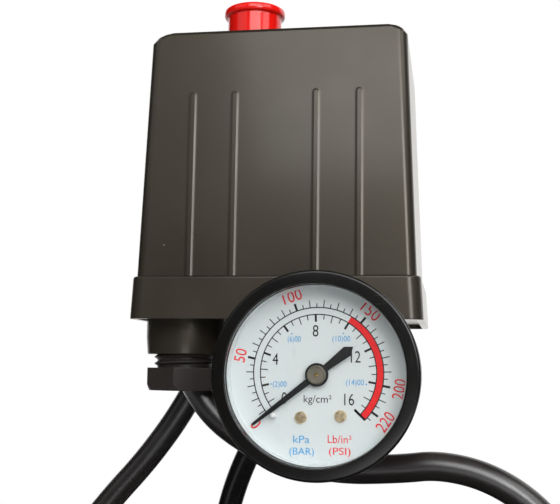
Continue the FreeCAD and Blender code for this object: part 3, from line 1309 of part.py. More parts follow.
def coil_tie():
    """Strap round the bundle at the bottom of the coil."""
    x = COIL_X + COIL_STEP
    outer = COIL_R + LEAD_R + TIE_SLACK
    inner = COIL_R - (COIL_HALF_TURNS_IN - 1) * COIL_STEP - LEAD_R - 2 * TIE_SLACK
    half_y = COIL_STEP + LEAD_R + TIE_SLACK
    front = COIL_Y - half_y
    band = box(x - TIE_W / 2, x + TIE_W / 2, front - TIE_T, COIL_Y + half_y + TIE_T,
               COIL_Z - outer - TIE_T, COIL_Z - inner + TIE_T)
    band = band.cut(box(x - TIE_W, x + TIE_W, front, COIL_Y + half_y, COIL_Z - outer, COIL_Z - inner))
    head = box(x - TIE_W / 2 - 1, x + TIE_W / 2 + 1, front - TIE_T - 4.4, front - TIE_T,
               COIL_Z - outer + 9, COIL_Z - outer + 14)
    end = box(x - TIE_W / 2 + 0.4, x + TIE_W / 2 - 0.4, front - TIE_T - 16, front - TIE_T - 4.4,
              COIL_Z - outer + 10.9, COIL_Z - outer + 12.1)
    return band.fuse(head).fuse(end).removeSplitter()


def plug_top():
    return V(*TAIL_ROUTE[-1])


def plug_body():
    relief_r = PLUG_RELIEF_R
    body_z = -PLUG_RELIEF_L
    face_z = body_z - PLUG_BODY_L
    shoulder = face_z + PLUG_FACE_T
    waist = ((PLUG_NECK_R, body_z), (PLUG_R * 0.72, body_z - 7.5), (PLUG_R, shoulder + 6))
    profile = [(0, 0), (relief_r, 0), waist, (PLUG_R, shoulder), (PLUG_R - 1.2, shoulder - 2), (PLUG_R - 1.2, face_z),
               (0, face_z)]
    profile = [(0, 0), (0, face_z), (PLUG_R - 1.2, face_z), (PLUG_R, face_z + 1.2), (PLUG_R, shoulder),
               (PLUG_R * 0.86, shoulder + 8), (PLUG_R * 0.55, body_z - 6), (PLUG_NECK_R, body_z),
               (relief_r, 0)]
    body = turned(profile)
    for z in range(5):
        groove_z = -3.5 - 3.4 * z
        outer = relief_r + (PLUG_NECK_R - relief_r) * -groove_z / PLUG_RELIEF_L + 1
        body = body.cut(ring(outer, LEAD_R + 0.5, V(0, 0, groove_z - 0.6), 1.2))
    for side in (-1, 1):
        flat = box(side * PLUG_R * 0.84 if side > 0 else -PLUG_R - 1, PLUG_R + 1 if side > 0 else -PLUG_R * 0.84,
                   -3.2, 3.2, face_z, shoulder + 8)
        body = body.cut(flat)
    body.translate(plug_top())
    return body


def plug_pins():
    pins = []
    face_z = -PLUG_RELIEF_L - PLUG_BODY_L
    for side in (-1, 1):
        profile = [(0, face_z - PIN_L), (PIN_R - 0.8, face_z - PIN_L), (PIN_R, face_z - PIN_L + 1.2),
                   (PIN_R, face_z), (0, face_z)]
        pins.append(turned(profile, plug_top() + V(side * PIN_PITCH / 2, 0, 0)))
    return Part.makeCompound(pins)


def motor_cores():
    """Three insulated cores that leave the end of the motor lead side by side."""
    end = V(*MOTOR_ROUTE[-1])
    cores = []
    for x in core_offsets():
        start = end + V(x, 0, 0)
        cores.append(cyl(CORE_D / 2, start - V(0, 0, CORE_LENGTH), CORE_LENGTH))
    return Part.makeCompound(cores)


def core_offsets():
    return (-CORE_D - 0.05, 0.0, CORE_D + 0.05)


def motor_ferrules():
    """Crimped pin ends on the three cores."""
    end = V(*MOTOR_ROUTE[-1]) - V(0, 0, CORE_LENGTH)
    pins = []
    for x in core_offsets():
        profile = [(0, 0), (CORE_D / 2, 0), (CORE_D / 2, 1 - FERRULE_SLEEVE), (FERRULE_R, -FERRULE_SLEEVE),
                   (FERRULE_R, -FERRULE_LENGTH), (0, -FERRULE_LENGTH)]
        pins.append(turned(profile, end + V(x, 0, 0)))
    return Part.makeCompound(pins)


def unloader_tube():
    """Nylon tube, bored a little way in at both ends."""
    tube = cord("unloader_tube", UNLOADER_ROUTE, UNLOADER_D)
    end, out = tube_end()
    for mouth, inward in ((V(*UNLOADER_ROUTE[0]), Z_AXIS * -1), (end, out * -1)):
        tube = tube.cut(cyl(UNLOADER_BORE / 2, mouth, UNLOADER_BORE_END, inward))
    return tube


def tube_end():
    """Place and direction of the tube's free end."""
    end = V(*UNLOADER_ROUTE[-1])
    return end, (end - V(*UNLOADER_ROUTE[-2])).normalize()


def tube_end_nut():
    end, out = tube_end()
    mouth = end + out * (VALVE_NUT_H / 3)
    return compression_nut(mouth, out * -1, VALVE_NUT_H / 3 + OLIVE_L * 1.5)


def tube_olive():
    """Brass ring on the tube, inside the far nut."""
    end, out = tube_end()
    tube_r = UNLOADER_D / 2
    return ring(tube_r + OLIVE_T, tube_r + RUN_GAP, end - out * OLIVE_L * 1.5, OLIVE_L, out)


PIECES = {
    "port_manifold": port_manifold,
    "port_plugs": port_plugs,
    "clamp_screws": clamp_screws,
    "diaphragm": diaphragm,
    "piston": piston,
    "base": base,
    "gland_nut_front": lambda: gland_nut(-GLAND_Y),
    "gland_nut_rear": lambda: gland_nut(GLAND_Y),
    "gland_bushing_front": lambda: gland_bushing(-GLAND_Y),
    "gland_bushing_rear": lambda: gland_bushing(GLAND_Y),
    "cover": cover,
    "cover_standoff": cover_standoff,
    "cover_screw": cover_screw,
    "knob": knob,
    "knob_stem": knob_stem,
    "support_frame": support_frame,
    "lever_pin": lever_pin,
    "lever": lever,
    "range_spring": range_spring,
    "spring_adjuster": spring_adjuster,
    "adjusting_screw": adjusting_screw,
    "terminal_block": terminal_block,
    "fixed_contacts": fixed_contacts,
    "terminal_screws": terminal_screws,
    "contact_carrier": contact_carrier,
    "moving_contacts": moving_contacts,
    "unloader_valve": unloader_valve,
    "valve_pin": valve_pin,
    "valve_nut": valve_nut,
    "gauge_bezel": gauge_bezel,
    "gauge_case": gauge_case,
    "gauge_lens": gauge_lens,
    "lens_gasket": lens_gasket,
    "gauge_dial": gauge_dial,
    "stop_pin": stop_pin,
    "dial_screws": dial_screws,
    "pointer": pointer,
    "pointer_cap": pointer_cap,
    "pointer_arbor": pointer_arbor,
    "sector_gear": sector_gear,
    "movement_frame": movement_frame,
    "movement_link": movement_link,
    "gauge_socket": gauge_socket,
    "bourdon_tube": bourdon_tube,
    "motor_lead": lambda: cord("motor_lead", MOTOR_ROUTE, LEAD_D),
    "motor_cores": motor_cores,
    "motor_ferrules": motor_ferrules,
    "mains_lead": lambda: cord("mains_lead", MAINS_ROUTE, LEAD_D),
    "mains_coil": mains_coil,
    "coil_tie": coil_tie,
    "mains_tail": lambda: cord("mains_tail", TAIL_ROUTE, LEAD_D),
    "plug_body": plug_body,
    "plug_pins": plug_pins,
    "unloader_tube": unloader_tube,
    "tube_end_nut": tube_end_nut,
    "tube_olive": tube_olive,
}


def main():
    os.makedirs("parts", exist_ok=True)
    for name, make in PIECES.items():
        shape = make()
        if not shape.isValid():
            print("NOT VALID", name)
        shape.exportStep(os.path.join("parts", name + ".step"))


main()
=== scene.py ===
"""Pressure switch of a small air compressor with its dial gauge: looks, leads and stage."""
import math

import bmesh
import bpy
from bpy.props import FloatProperty, FloatVectorProperty, PointerProperty
from mathutils import Matrix, Vector


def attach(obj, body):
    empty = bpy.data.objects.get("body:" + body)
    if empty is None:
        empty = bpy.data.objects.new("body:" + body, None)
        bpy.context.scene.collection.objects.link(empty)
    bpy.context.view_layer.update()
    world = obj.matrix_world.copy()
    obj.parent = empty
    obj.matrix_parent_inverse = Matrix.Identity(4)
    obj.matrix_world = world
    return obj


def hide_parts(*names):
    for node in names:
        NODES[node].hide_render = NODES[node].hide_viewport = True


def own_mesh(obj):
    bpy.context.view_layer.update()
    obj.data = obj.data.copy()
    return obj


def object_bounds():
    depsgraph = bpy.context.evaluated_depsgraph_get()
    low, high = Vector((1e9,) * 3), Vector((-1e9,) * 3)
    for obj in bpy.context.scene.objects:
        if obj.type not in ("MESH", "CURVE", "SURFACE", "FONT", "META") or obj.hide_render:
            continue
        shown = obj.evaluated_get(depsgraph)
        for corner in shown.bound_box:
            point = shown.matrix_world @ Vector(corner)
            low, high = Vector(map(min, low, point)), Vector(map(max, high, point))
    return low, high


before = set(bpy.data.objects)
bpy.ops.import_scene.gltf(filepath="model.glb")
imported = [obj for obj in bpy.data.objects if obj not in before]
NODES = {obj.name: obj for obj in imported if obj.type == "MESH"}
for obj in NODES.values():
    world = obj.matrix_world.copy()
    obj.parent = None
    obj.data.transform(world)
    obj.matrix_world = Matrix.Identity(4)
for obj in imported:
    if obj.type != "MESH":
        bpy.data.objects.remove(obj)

bl_info = {
    "name": "Air Compressor Pressure Switch",
    "version": (1, 0, 0),
    "blender": (4, 5, 0),
    "location": "3D View > Sidebar > Pressure Switch",
    "description": "Builds the looks of a pressure switch with its dial gauge, leads and stage",
    "category": "Object",
}

CAD_BOX = [list(corner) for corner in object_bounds()]
MM = 0.001
MICRON = 0.000001
BODY = "switch_body"
MERGE = 1e-7

# Millimetres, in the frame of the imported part
GAUGE_Z = 16.0
DIAL_FACE = 53.1
POINTER_FRONT = DIAL_FACE + 1.5
GLAND_X = -44.7
GLAND_Y = 14.5
KNOB_X = -27.5

# Cover, base and ridges: left end, right end, half width and height of a level
COVER_FOOT = (-55.9, 26.2, 32.3, 43.72)
COVER_HEAD = (-53.3, 23.8, 30.4, 117.2)
COVER_CORNER = 3.0
COVER_TURN = 1.1         # the right end's front edge stands this much further in than its back edge
COVER_WALL = 2.0
COVER_ROOF = 2.4
ROOF_SLOPE = (5.4, 2.2)
ROOF_EDGE = 1.15
KNOB_HOLE = 9.0
RIDGES = (-39.97, -27.38, -3.45, 9.06)
RIDGE_WIDE = 2.3
RIDGE_FLANK = 0.6
RIDGE_STANDS = 0.21
RIDGE_DEEP = 1.5
RIDGE_TOP = 98.3
SKIRT_FOOT = (-57.6, 28.0, 33.8, 31.3)
SKIRT_HEAD = (-57.1, 27.3, 33.2, 43.7)
SKIRT_TURN = 1.1
SKIRT_CORNER = 4.2
SKIRT_EDGE = 0.7
SKIRT_FOOT_EDGE = 0.25
SKIRT_WALL = 2.2
SKIRT_RIM = 1.8
SKIRT_RECESS = 1.2
FLOOR_TOP = 34.0
PAD_HALF = 20.4
PAD_CORNER = 4.0
PAD_OVERLAP = 0.4
BOSS = ((9.0, 21.4), (11.5, 21.4), (11.9, 26.5), (11.9, 33.0), (9.0, 33.0))
BOSS_EDGE = 0.3

# Gland nuts: radii of the barrel before and after it is thinned, and of its thread
NUT_TURN = 18.0
NUT_GROWTH = 1.01
NUT_TOP = 17.4
NUT_EDGE = 0.25
NUT_FLATS_OUTSIDE = 9.6
BARREL_BAND = (8.8, 9.05)
THREAD_ROOT = 8.4
THREAD_CREST = 9.38
THREAD_BELOW_NUT_TOP = 0.55
THREAD_INTO_BOSS = 2.0

# Turned pieces: radius and height of each corner
KNOB_OUTLINE = (
    (2.65, 106.0), (8.3, 106.0), (8.7, 106.4), (8.7, 130.9), (8.82, 131.12), (9.1, 131.2), (9.5, 131.24),
    (9.75, 131.42), (9.87, 131.75), (9.9, 132.2), (9.88, 132.9), (9.74, 133.3), (9.42, 133.6), (8.9, 133.78),
    (7.4, 134.02), (5.0, 134.24), (2.6, 134.36), (0.0, 134.4), (0.0, 117.05), (2.65, 117.05), (2.65, 106.0))
BEZEL_FRONT = 60.6
BEZEL_OUTLINE = (
    (22.92, -1.5), (22.94, -0.4), (22.99, -0.16), (23.12, -0.04), (23.34, 0.0), (25.7, 0.0), (26.1, -0.1),
    (26.38, -0.36), (26.5, -0.8), (26.5, -4.1), (26.38, -4.3), (25.25, -4.3), (25.25, -1.5), (22.92, -1.5))
DIAL_OUTLINE = (
    (1.5, -0.5), (22.87, -0.5), (22.87, 4.33), (22.74, 4.33), (22.74, 0.5), (22.66, 0.2), (22.4, 0.0),
    (1.5, 0.0), (1.5, -0.5))
STOP_PIN = (-11.2, -10.4)
STOP_PIN_OUTLINE = (
    (0.0, -0.6), (0.72, -0.6), (0.72, 1.5), (0.66, 1.8), (0.48, 2.04), (0.24, 2.16), (0.0, 2.2))
HUB_CAP_OUTLINE = (
    (0.0, 0.0), (2.42, 0.0), (2.42, 0.72), (2.36, 0.9), (2.2, 1.0), (2.08, 1.0), (1.95, 0.9), (1.88, 0.62),
    (0.0, 0.58))
ARBOR_OUTLINE = ((0.0, 0.3), (0.56, 0.3), (0.56, 0.74), (0.48, 0.84), (0.3, 0.9), (0.0, 0.92))

# Pointer: one edge of the blade from the tip to the tail's point, along and across it
POINTER_EDGE = ((21.0, 0.34), (14.0, 0.62), (2.0, 0.85), (-2.0, 0.82), (-9.9, 1.42))
POINTER_TAIL = -11.8
POINTER_THICK = 0.3
POINTER_BEVEL = 0.07
HUB_RADIUS = 3.0
HUB_THICK = 0.34
HUB_DROP = 0.13
DIAL_SCREWS = ((-4.2, -10.9, 12.0), (6.0, -10.4, 38.0))     # place, and how far the screw is turned
SCREW_RADIUS = 1.6
SCREW_RISE = 0.75

# Dial: millimetres from the gauge's axis, degrees from +X as its reader sees it
PRINT_AT = (0.2, 0.5)
INK = 0.03
FIGURE_RISE = 0.73
POINTER_ZERO = 217.8
BAND_START = 59.5
BAND_END = -44.4
LAST_TICK = -41.4
KILOGRAM_FULL = 16
POUND_FULL = 220
KILOGRAM_SCALE = (
    (0, 217.8), (1, 210.6), (2, 193.3), (4, 160.4), (6, 126.7), (8, 92.7), (10, 58.6), (12, 24.8), (14, -9.6),
    (16, -44.4))
POUND_SCALE = ((0, 219.5), (10, 215.3), (50, 168.0), (100, 109.3), (150, 49.4), (200, -10.7), (220, -35.3))
RING_HALF = 0.14
FINE_LINE = 0.25
POUND_FIGURES = (0, 50, 100, 150, 200, 220)
POUND_FIGURE_RADIUS = 20.9
POUND_FIGURE_WIDE = 1.68
POUND_FIGURE_TALL = 3.1
UPRIGHT_FROM = 200       # from this value on the outer figures are read from the outside
INNER_FIGURES = (("4", (-10.92, 4.01), 1.5), ("8", (-0.5, 11.37), 1.5), ("12", (9.84, 4.77), 2.5),
                 ("16", (8.21, -6.05), 2.55), ("0", (-8.52, -5.89), 1.4))
UNITS = (("black", "kg/cm\u00b2", (0.12, -6.05), 7.2, 2.0), ("red", "Lb/in\u00b2", (5.8, -16.1), 6.1, 2.1),
         ("red", "(PSI)", (5.83, -19.1), 5.5, 1.9), ("blue", "kPa", (-4.0, -16.3), 4.2, 2.0),
         ("blue", "(BAR)", (-3.9, -19.3), 6.3, 1.9))
SMALL_FIGURES = (("(2)00", (-9.73, -2.4), 3.6, (-12.0, -2.5)), ("(6)00", (-6.05, 9.21), 3.4, (-6.7, 10.5)),
                 ("(10)00", (6.15, 9.35), 4.6, (6.7, 10.65)), ("(14)00", (9.64, -1.75), 4.6, (12.6, -2.3)))
SMALL_FIGURE_TALL = 1.5
DOT_RADIUS = 0.2

# Cords: control points of their lines, the coil's first half turn and its steps
MOTOR_ROUTE = [
    (-44.9, -14.5, 18.0), (-39.6, -14.6, 8.0), (-30.8, -15.5, -0.6), (-16.2, -17.0, -7.9),
    (1.6, -18.6, -11.4), (20.3, -20.0, -10.4), (30.4, -20.8, -9.0), (42.6, -21.4, -11.2),
    (53.6, -21.7, -17.0), (62.4, -21.6, -25.8), (68.2, -21.2, -36.6), (70.8, -20.4, -49.0),
    (71.3, -19.2, -66.0), (70.2, -17.6, -86.0), (67.8, -16.2, -106.0), (66.6, -15.2, -121.0),
    (66.6, -15.2, -134.0)]
MAINS_ROUTE = [
    (-45.0, 14.5, 18.0), (-48.8, 14.5, 10.6), (-53.6, 14.6, 2.4), (-59.2, 14.6, -5.8),
    (-66.2, 14.4, -14.8), (-75.6, 13.9, -25.2), (-85.6, 13.0, -38.0), (-92.4, 12.1, -51.0),
    (-95.4, 11.6, -61.5), (-96.0, 11.5, -69.4), (-96.0, 11.5, -76.8)]
TAIL_ROUTE = [
    (-96.0, 20.5, -93.2), (-96.0, 20.5, -102.0), (-97.6, 21.8, -113.0), (-97.6, 21.8, -123.0)]
UNLOADER_ROUTE = [
    (-24.0, 23.3, 17.5), (-24.0, 23.3, 9.6), (-26.4, 23.9, 1.0), (-31.4, 25.4, -9.0),
    (-35.9, 27.2, -18.6), (-39.6, 29.0, -29.5), (-42.4, 30.4, -44.0), (-43.6, 31.4, -64.0),
    (-43.0, 32.4, -90.0), (-40.6, 33.8, -116.0), (-37.6, 35.2, -140.0)]
CORE_ROUTE = [(0.0, 0.2), (-0.1, -5.0), (0.1, -10.6), (0.0, -16.0)]      # back and up from the lead's end
CORE_PITCH = 2.75
CORE_DIAMETER = 2.7
COIL_X = -50.0
COIL_Y = 16.0
COIL_Z = -85.0
COIL_R = 46.0
COIL_STEP = 4.5
COIL_TURNS_IN = 5
COIL_TURNS_OUT = 6

# Stage, in metres and degrees
FLOOR_BELOW = 0.002
FLOOR_RADIUS = 0.95
FLOOR_MIDDLE = 0.1
CARD_RADIUS = 0.95
CARD_LEVELS = (-0.6, 1.15)
CARD_LEFT = -130.0
CARD_RIGHT = 120.0
CARD_CEILING = (1.0, 1.0)
CARD_FLOOR = (0.5, 0.0005)
AIM = (-0.012, 0.0, 0.05)
CAMERA_PLACE = (0.02934, -0.3058, 0.01758)
CAMERA_RIGHT = (0.988176, 0.152961, 0.010348)
CAMERA_UP = (0.007842, -0.117834, 0.993006)
SENSOR = 36.0

# Lamps: name, setting of its power, turn from the front, rise, distance, width and height
LAMPS = (
    ("key_softbox", "key_power", 11.0, 29.0, 0.85, 0.66, 0.4),
    ("cross_softbox", "cross_power", 58.0, 34.0, 0.85, 0.4, 0.4),
    ("window_light", "window_power", 28.0, 12.0, 0.75, 0.26, 0.24),
    ("low_lamp", "low_power", 10.0, -13.0, 0.75, 0.3, 0.1),
    ("fill_softbox", "fill_power", -47.0, 28.0, 0.8, 0.6, 0.4),
    ("top_softbox", "top_power", 40.0, 72.0, 0.8, 0.6, 0.5),
    ("rear_softbox", "rear_power", 200.0, 34.0, 0.85, 0.6, 0.5))
NOT_IN_GLOSS = ("top_softbox", "rear_softbox")


# Sizes and colours that a user would change

def colour_setting(name, about, default):
    return FloatVectorProperty(name=name, description=about, default=default, min=0.0, max=1.0,
                               subtype="COLOR")


def length_setting(name, about, default, low, high):
    return FloatProperty(name=name, description=about, default=default, min=low, max=high, unit="LENGTH",
                         subtype="DISTANCE")


def power_setting(name, about, default):
    return FloatProperty(name=name, description=about, default=default, min=0.0, unit="POWER")


class CaseSettings(bpy.types.PropertyGroup):
    """Cover, base, glands and knob"""
    case_colour: colour_setting("Case colour", "Moulded cover and base", (0.024, 0.0208, 0.0165))
    gland_colour: colour_setting("Gland colour", "Gland nuts", (0.032, 0.0265, 0.0245))
    knob_colour: colour_setting("Knob colour", "Push-pull knob", (0.93, 0.009, 0.005))
    edge_softness: length_setting("Edge softness", "Radius that the moulded edges are rounded with",
                                  0.00018, 0.0, 0.002)
    grain_size: length_setting("Grain size", "Size of the spark texture in the moulded plastic",
                               0.00035, 0.0001, 0.003)
    thread_pitch: length_setting("Thread pitch", "Pitch of the gland nuts' thread", 0.00195, 0.0008, 0.003)


class GaugeSettings(bpy.types.PropertyGroup):
    """Bezel, dial and its print"""
    rim_colour: colour_setting("Bezel colour", "Bezel and case of the gauge", (0.006, 0.0055, 0.0052))
    dial_colour: colour_setting("Dial colour", "Enamel of the dial", (0.7, 0.74, 0.745))
    black_ink: colour_setting("Black ink", "Both rings and the inner figures", (0.007, 0.007, 0.0075))
    red_ink: colour_setting("Red ink", "Outer figures and the limit band", (0.85, 0.004, 0.008))
    blue_ink: colour_setting("Blue ink", "Figures of the third unit", (0.02, 0.33, 0.68))
    inner_ring: length_setting("Inner ring", "Radius of the inner scale's printed ring", 0.015, 0.01, 0.02)
    outer_ring: length_setting("Outer ring", "Radius of the outer scale's printed ring", 0.0168, 0.01, 0.022)
    figure_height: length_setting("Figure height", "Height of the inner figures", 0.00312, 0.001, 0.005)


class CordSettings(bpy.types.PropertyGroup):
    """Leads, tube and plug"""
    lead_colour: colour_setting("Lead colour", "Sheath of both leads and the plug", (0.0125, 0.0095, 0.009))
    tube_colour: colour_setting("Tube colour", "Nylon tube to the unloader", (0.009, 0.009, 0.0095))
    lead_diameter: length_setting("Lead diameter", "Outside diameter of both leads", 0.0082, 0.004, 0.015)
    tube_diameter: length_setting("Tube diameter", "Outside diameter of the tube", 0.008, 0.003, 0.012)


class StageSettings(bpy.types.PropertyGroup):
    """Floor, lamps and camera"""
    floor_colour: colour_setting("Floor colour", "Plain floor under the part", (0.88, 0.88, 0.88))
    card_colour: colour_setting("Card colour", "Dark card round the part, which only shows in gloss",
                                (0.01, 0.01, 0.01))
    key_power: power_setting("Key power", "Softbox at the upper front", 3.1)
    cross_power: power_setting("Cross power", "Softbox at the upper right", 1.2)
    window_power: power_setting("Window power", "Small bright lamp at the right of the camera", 1.35)
    low_power: power_setting("Low power", "Small lamp below the camera", 0.22)
    fill_power: power_setting("Fill power", "Softbox at the front left", 0.4)
    top_power: power_setting("Top power", "Softbox above, which doesn't show in gloss", 1.5)
    rear_power: power_setting("Rear power", "Softbox at the back, which doesn't show in gloss", 3.6)
    sky: FloatProperty(name="Room light", description="Plain light from all round", default=0.22, min=0.0,
                       max=1.0)
    lens: FloatProperty(name="Lens", description="Focal length on a 36 mm sensor", default=63.077, min=10.0,
                        unit="CAMERA", subtype="DISTANCE_CAMERA")


# Node trees

def node(tree, kind, values=None, **settings):
    """Adds a node; a value that is a socket is joined to the input, any other is set on it."""
    made = tree.nodes.new(kind)
    for key, value in settings.items():
        setattr(made, key, value)
    for key, value in (values or {}).items():
        if isinstance(value, bpy.types.NodeSocket):
            tree.links.new(value, made.inputs[key])
        else:
            made.inputs[key].default_value = value
    return made


def calc(tree, operation, a, b=0.0, clamp=False):
    return node(tree, "ShaderNodeMath", {0: a, 1: b}, operation=operation, use_clamp=clamp).outputs[0]


def times(tree, a, b, clamp=False):
    return calc(tree, "MULTIPLY", a, b, clamp)


def spread(tree, value, low, high, to_low=0.0, to_high=1.0):
    return node(tree, "ShaderNodeMapRange", {"Value": value, "From Min": low, "From Max": high,
                                             "To Min": to_low, "To Max": to_high}).outputs[0]


def scaled_colour(tree, colour, factor):
    values = {0: tuple(colour), "Scale": factor}
    return node(tree, "ShaderNodeVectorMath", values, operation="SCALE").outputs[0]


def blend_colour(tree, factor, below, above):
    """Mixes a colour socket with a plain colour."""
    return node(tree, "ShaderNodeMix", {0: factor, 6: below, 7: (*above, 1.0)}, data_type="RGBA").outputs[2]


def object_noise(tree, scale, detail=2.0, roughness=0.5, stretch=None):
    """Noise on the piece's own coordinates; scale is in waves per metre."""
    place = node(tree, "ShaderNodeTexCoord").outputs["Object"]
    if stretch:
        place = node(tree, "ShaderNodeMapping", {"Vector": place, "Scale": stretch}).outputs[0]
    return node(tree, "ShaderNodeTexNoise",
                {"Vector": place, "Scale": scale, "Detail": detail, "Roughness": roughness}).outputs[0]


def effect_group(name, inputs, outputs):
    """Empty shader node group with float inputs {name: default} and outputs {name: kind}."""
    group = bpy.data.node_groups.new(name, "ShaderNodeTree")
    for key, default in inputs.items():
        socket = group.interface.new_socket(key, in_out="INPUT", socket_type="NodeSocketFloat")
        socket.default_value = default
    for key, kind in outputs.items():
        group.interface.new_socket(key, in_out="OUTPUT", socket_type="NodeSocket" + kind)
    start = group.nodes.new("NodeGroupInput")
    end = group.nodes.new("NodeGroupOutput")
    return group, start.outputs, end.inputs


def make_grain_group():
    """Fine texture, slow mottling and patchy gloss of a moulded or painted surface."""
    group, given, result = effect_group(
        "surface_grain", {"Waves per metre": 3000.0, "Mottle": 0.15, "Patch waves": 45.0},
        {"Height": "Float", "Tone": "Float", "Gloss": "Float"})
    fine = object_noise(group, given["Waves per metre"], 3.0, 0.6)
    broad = object_noise(group, given["Patch waves"], 4.0, 0.55)
    swing = times(group, spread(group, broad, 0.3, 0.7, -1.0, 1.0), given["Mottle"])
    group.links.new(fine, result["Height"])
    group.links.new(calc(group, "ADD", swing, 1.0), result["Tone"])
    group.links.new(spread(group, object_noise(group, 28.0, 5.0, 0.6), 0.35, 0.68), result["Gloss"])


def make_edge_group():
    """Rounded edges, and where hands and tools have rubbed them."""
    group, given, result = effect_group(
        "edge_wear", {"Width": 0.0004, "Amount": 0.5}, {"Mask": "Float", "Normal": "Vector"})
    soft = node(group, "ShaderNodeBevel", {"Radius": given["Width"]}, samples=6).outputs[0]
    true = node(group, "ShaderNodeNewGeometry").outputs["Normal"]
    same = node(group, "ShaderNodeVectorMath", {0: soft, 1: true}, operation="DOT_PRODUCT").outputs["Value"]
    broken = spread(group, object_noise(group, 420.0, 4.0, 0.65), 0.38, 0.66)
    rubbed = times(group, times(group, spread(group, same, 0.985, 0.82), broken), given["Amount"], clamp=True)
    group.links.new(rubbed, result["Mask"])
    group.links.new(soft, result["Normal"])


def make_dust_group():
    """A thin lighter film on faces that look up, and single specks everywhere: dust, which on the leads also
    stands in for a painted sheen on their tops.
    """
    group, given, result = effect_group("settled_dust", {"Film": 0.3, "Specks": 0.5}, {"Mask": "Float"})
    normal = node(group, "ShaderNodeNewGeometry").outputs["Normal"]
    up = node(group, "ShaderNodeSeparateXYZ", {0: normal}).outputs["Z"]
    film = times(group, spread(group, up, 0.3, 0.95),
                 spread(group, object_noise(group, 110.0, 5.0, 0.65), 0.35, 0.7))
    place = node(group, "ShaderNodeTexCoord").outputs["Object"]
    cell = node(group, "ShaderNodeTexVoronoi", {"Vector": place, "Scale": 190.0, "Randomness": 1.0}).outputs
    dot = spread(group, cell["Distance"], 0.055, 0.035)
    rare = spread(group, node(group, "ShaderNodeSeparateColor", {0: cell["Color"]}).outputs[0], 0.9, 0.93)
    speck = times(group, times(group, dot, rare), given["Specks"])
    total = calc(group, "ADD", times(group, film, given["Film"]), speck, clamp=True)
    group.links.new(total, result["Mask"])


def make_scuff_group():
    """Short fine scratches in two directions."""
    group, given, result = effect_group("scuffs", {"Amount": 0.4}, {"Mask": "Float"})
    one = spread(group, object_noise(group, 90.0, 3.0, 0.6, (1.0, 1.0, 22.0)), 0.66, 0.72)
    two = spread(group, object_noise(group, 80.0, 3.0, 0.6, (18.0, 12.0, 1.0)), 0.67, 0.73)
    where = spread(group, object_noise(group, 24.0, 2.0), 0.5, 0.64)
    lines = times(group, calc(group, "MAXIMUM", one, two), where)
    group.links.new(times(group, lines, given["Amount"], clamp=True), result["Mask"])


def effect(tree, name, values):
    made = tree.nodes.new("ShaderNodeGroup")
    made.node_tree = bpy.data.node_groups[name]
    for key, value in values.items():
        made.inputs[key].default_value = value
    return made.outputs


def start_material(name, settings):
    """New material with a Principled BSDF whose plain values are set on its own sockets."""
    material = bpy.data.materials.new(name)
    material.use_nodes = True
    tree = material.node_tree
    shader = tree.nodes["Principled BSDF"]
    for key, value in settings.items():
        shader.inputs[key].default_value = value
    return tree, shader


def surface(name, colour, roughness, waves, depth, mottle, *, patch_waves=45.0, gloss_swing=0.08,
            soft_edge=0.3, wear=0.4, worn=None, film=0.15, specks=0.3, scuffs=0.25,
            dust_and_sheen_colour=(0.32, 0.3, 0.27), sleek=0.0, **settings):
    """A solid material: mottled colour, worn edges, dust (on the leads partly a painted sheen on their tops),
    scratches, patchy gloss and fine relief.

    Waves is the grain's waves per metre, depth its relief in micrometres, soft_edge a radius in millimetres,
    and sleek how much smoother the surface looks from a grazing angle.
    """
    tree, shader = start_material(name, settings)
    grain = effect(tree, "surface_grain",
                   {"Waves per metre": waves, "Mottle": mottle, "Patch waves": patch_waves})
    edge = effect(tree, "edge_wear", {"Width": soft_edge * MM, "Amount": wear})
    dust_and_top_sheen = effect(tree, "settled_dust", {"Film": film, "Specks": specks})["Mask"]
    lines = effect(tree, "scuffs", {"Amount": scuffs})["Mask"]
    lighter = worn or tuple(min(1.0, c * 2.2 + 0.02) for c in colour)
    rubbed = blend_colour(tree, edge["Mask"], scaled_colour(tree, colour, grain["Tone"]), lighter)
    scratched = blend_colour(tree, times(tree, lines, 0.5), rubbed, lighter)
    # Lighter towards faces that look up: settled dust, which on the leads is also a painted sheen standing in
    # for the light on their tops.
    dusted_and_sheened = blend_colour(tree, times(tree, dust_and_top_sheen, 0.6), scratched, dust_and_sheen_colour)
    tree.links.new(dusted_and_sheened, shader.inputs["Base Color"])
    gloss = spread(tree, grain["Gloss"], 0.0, 1.0, roughness - gloss_swing, roughness + gloss_swing)
    rough = calc(tree, "ADD", gloss, times(tree, calc(tree, "MAXIMUM", dust_and_top_sheen, lines), 0.3), clamp=True)
    if sleek:
        facing = node(tree, "ShaderNodeLayerWeight", {"Blend": 0.5}).outputs["Facing"]
        rough = times(tree, rough, spread(tree, facing, 0.8, 0.97, 1.0, 1.0 - sleek))
    tree.links.new(rough, shader.inputs["Roughness"])
    height = calc(tree, "SUBTRACT", grain["Height"], times(tree, lines, 0.6))
    bump = node(tree, "ShaderNodeBump", {"Height": height, "Distance": depth * MICRON, "Strength": 1.0,
                                         "Normal": edge["Normal"]})
    tree.links.new(bump.outputs[0], shader.inputs["Normal"])


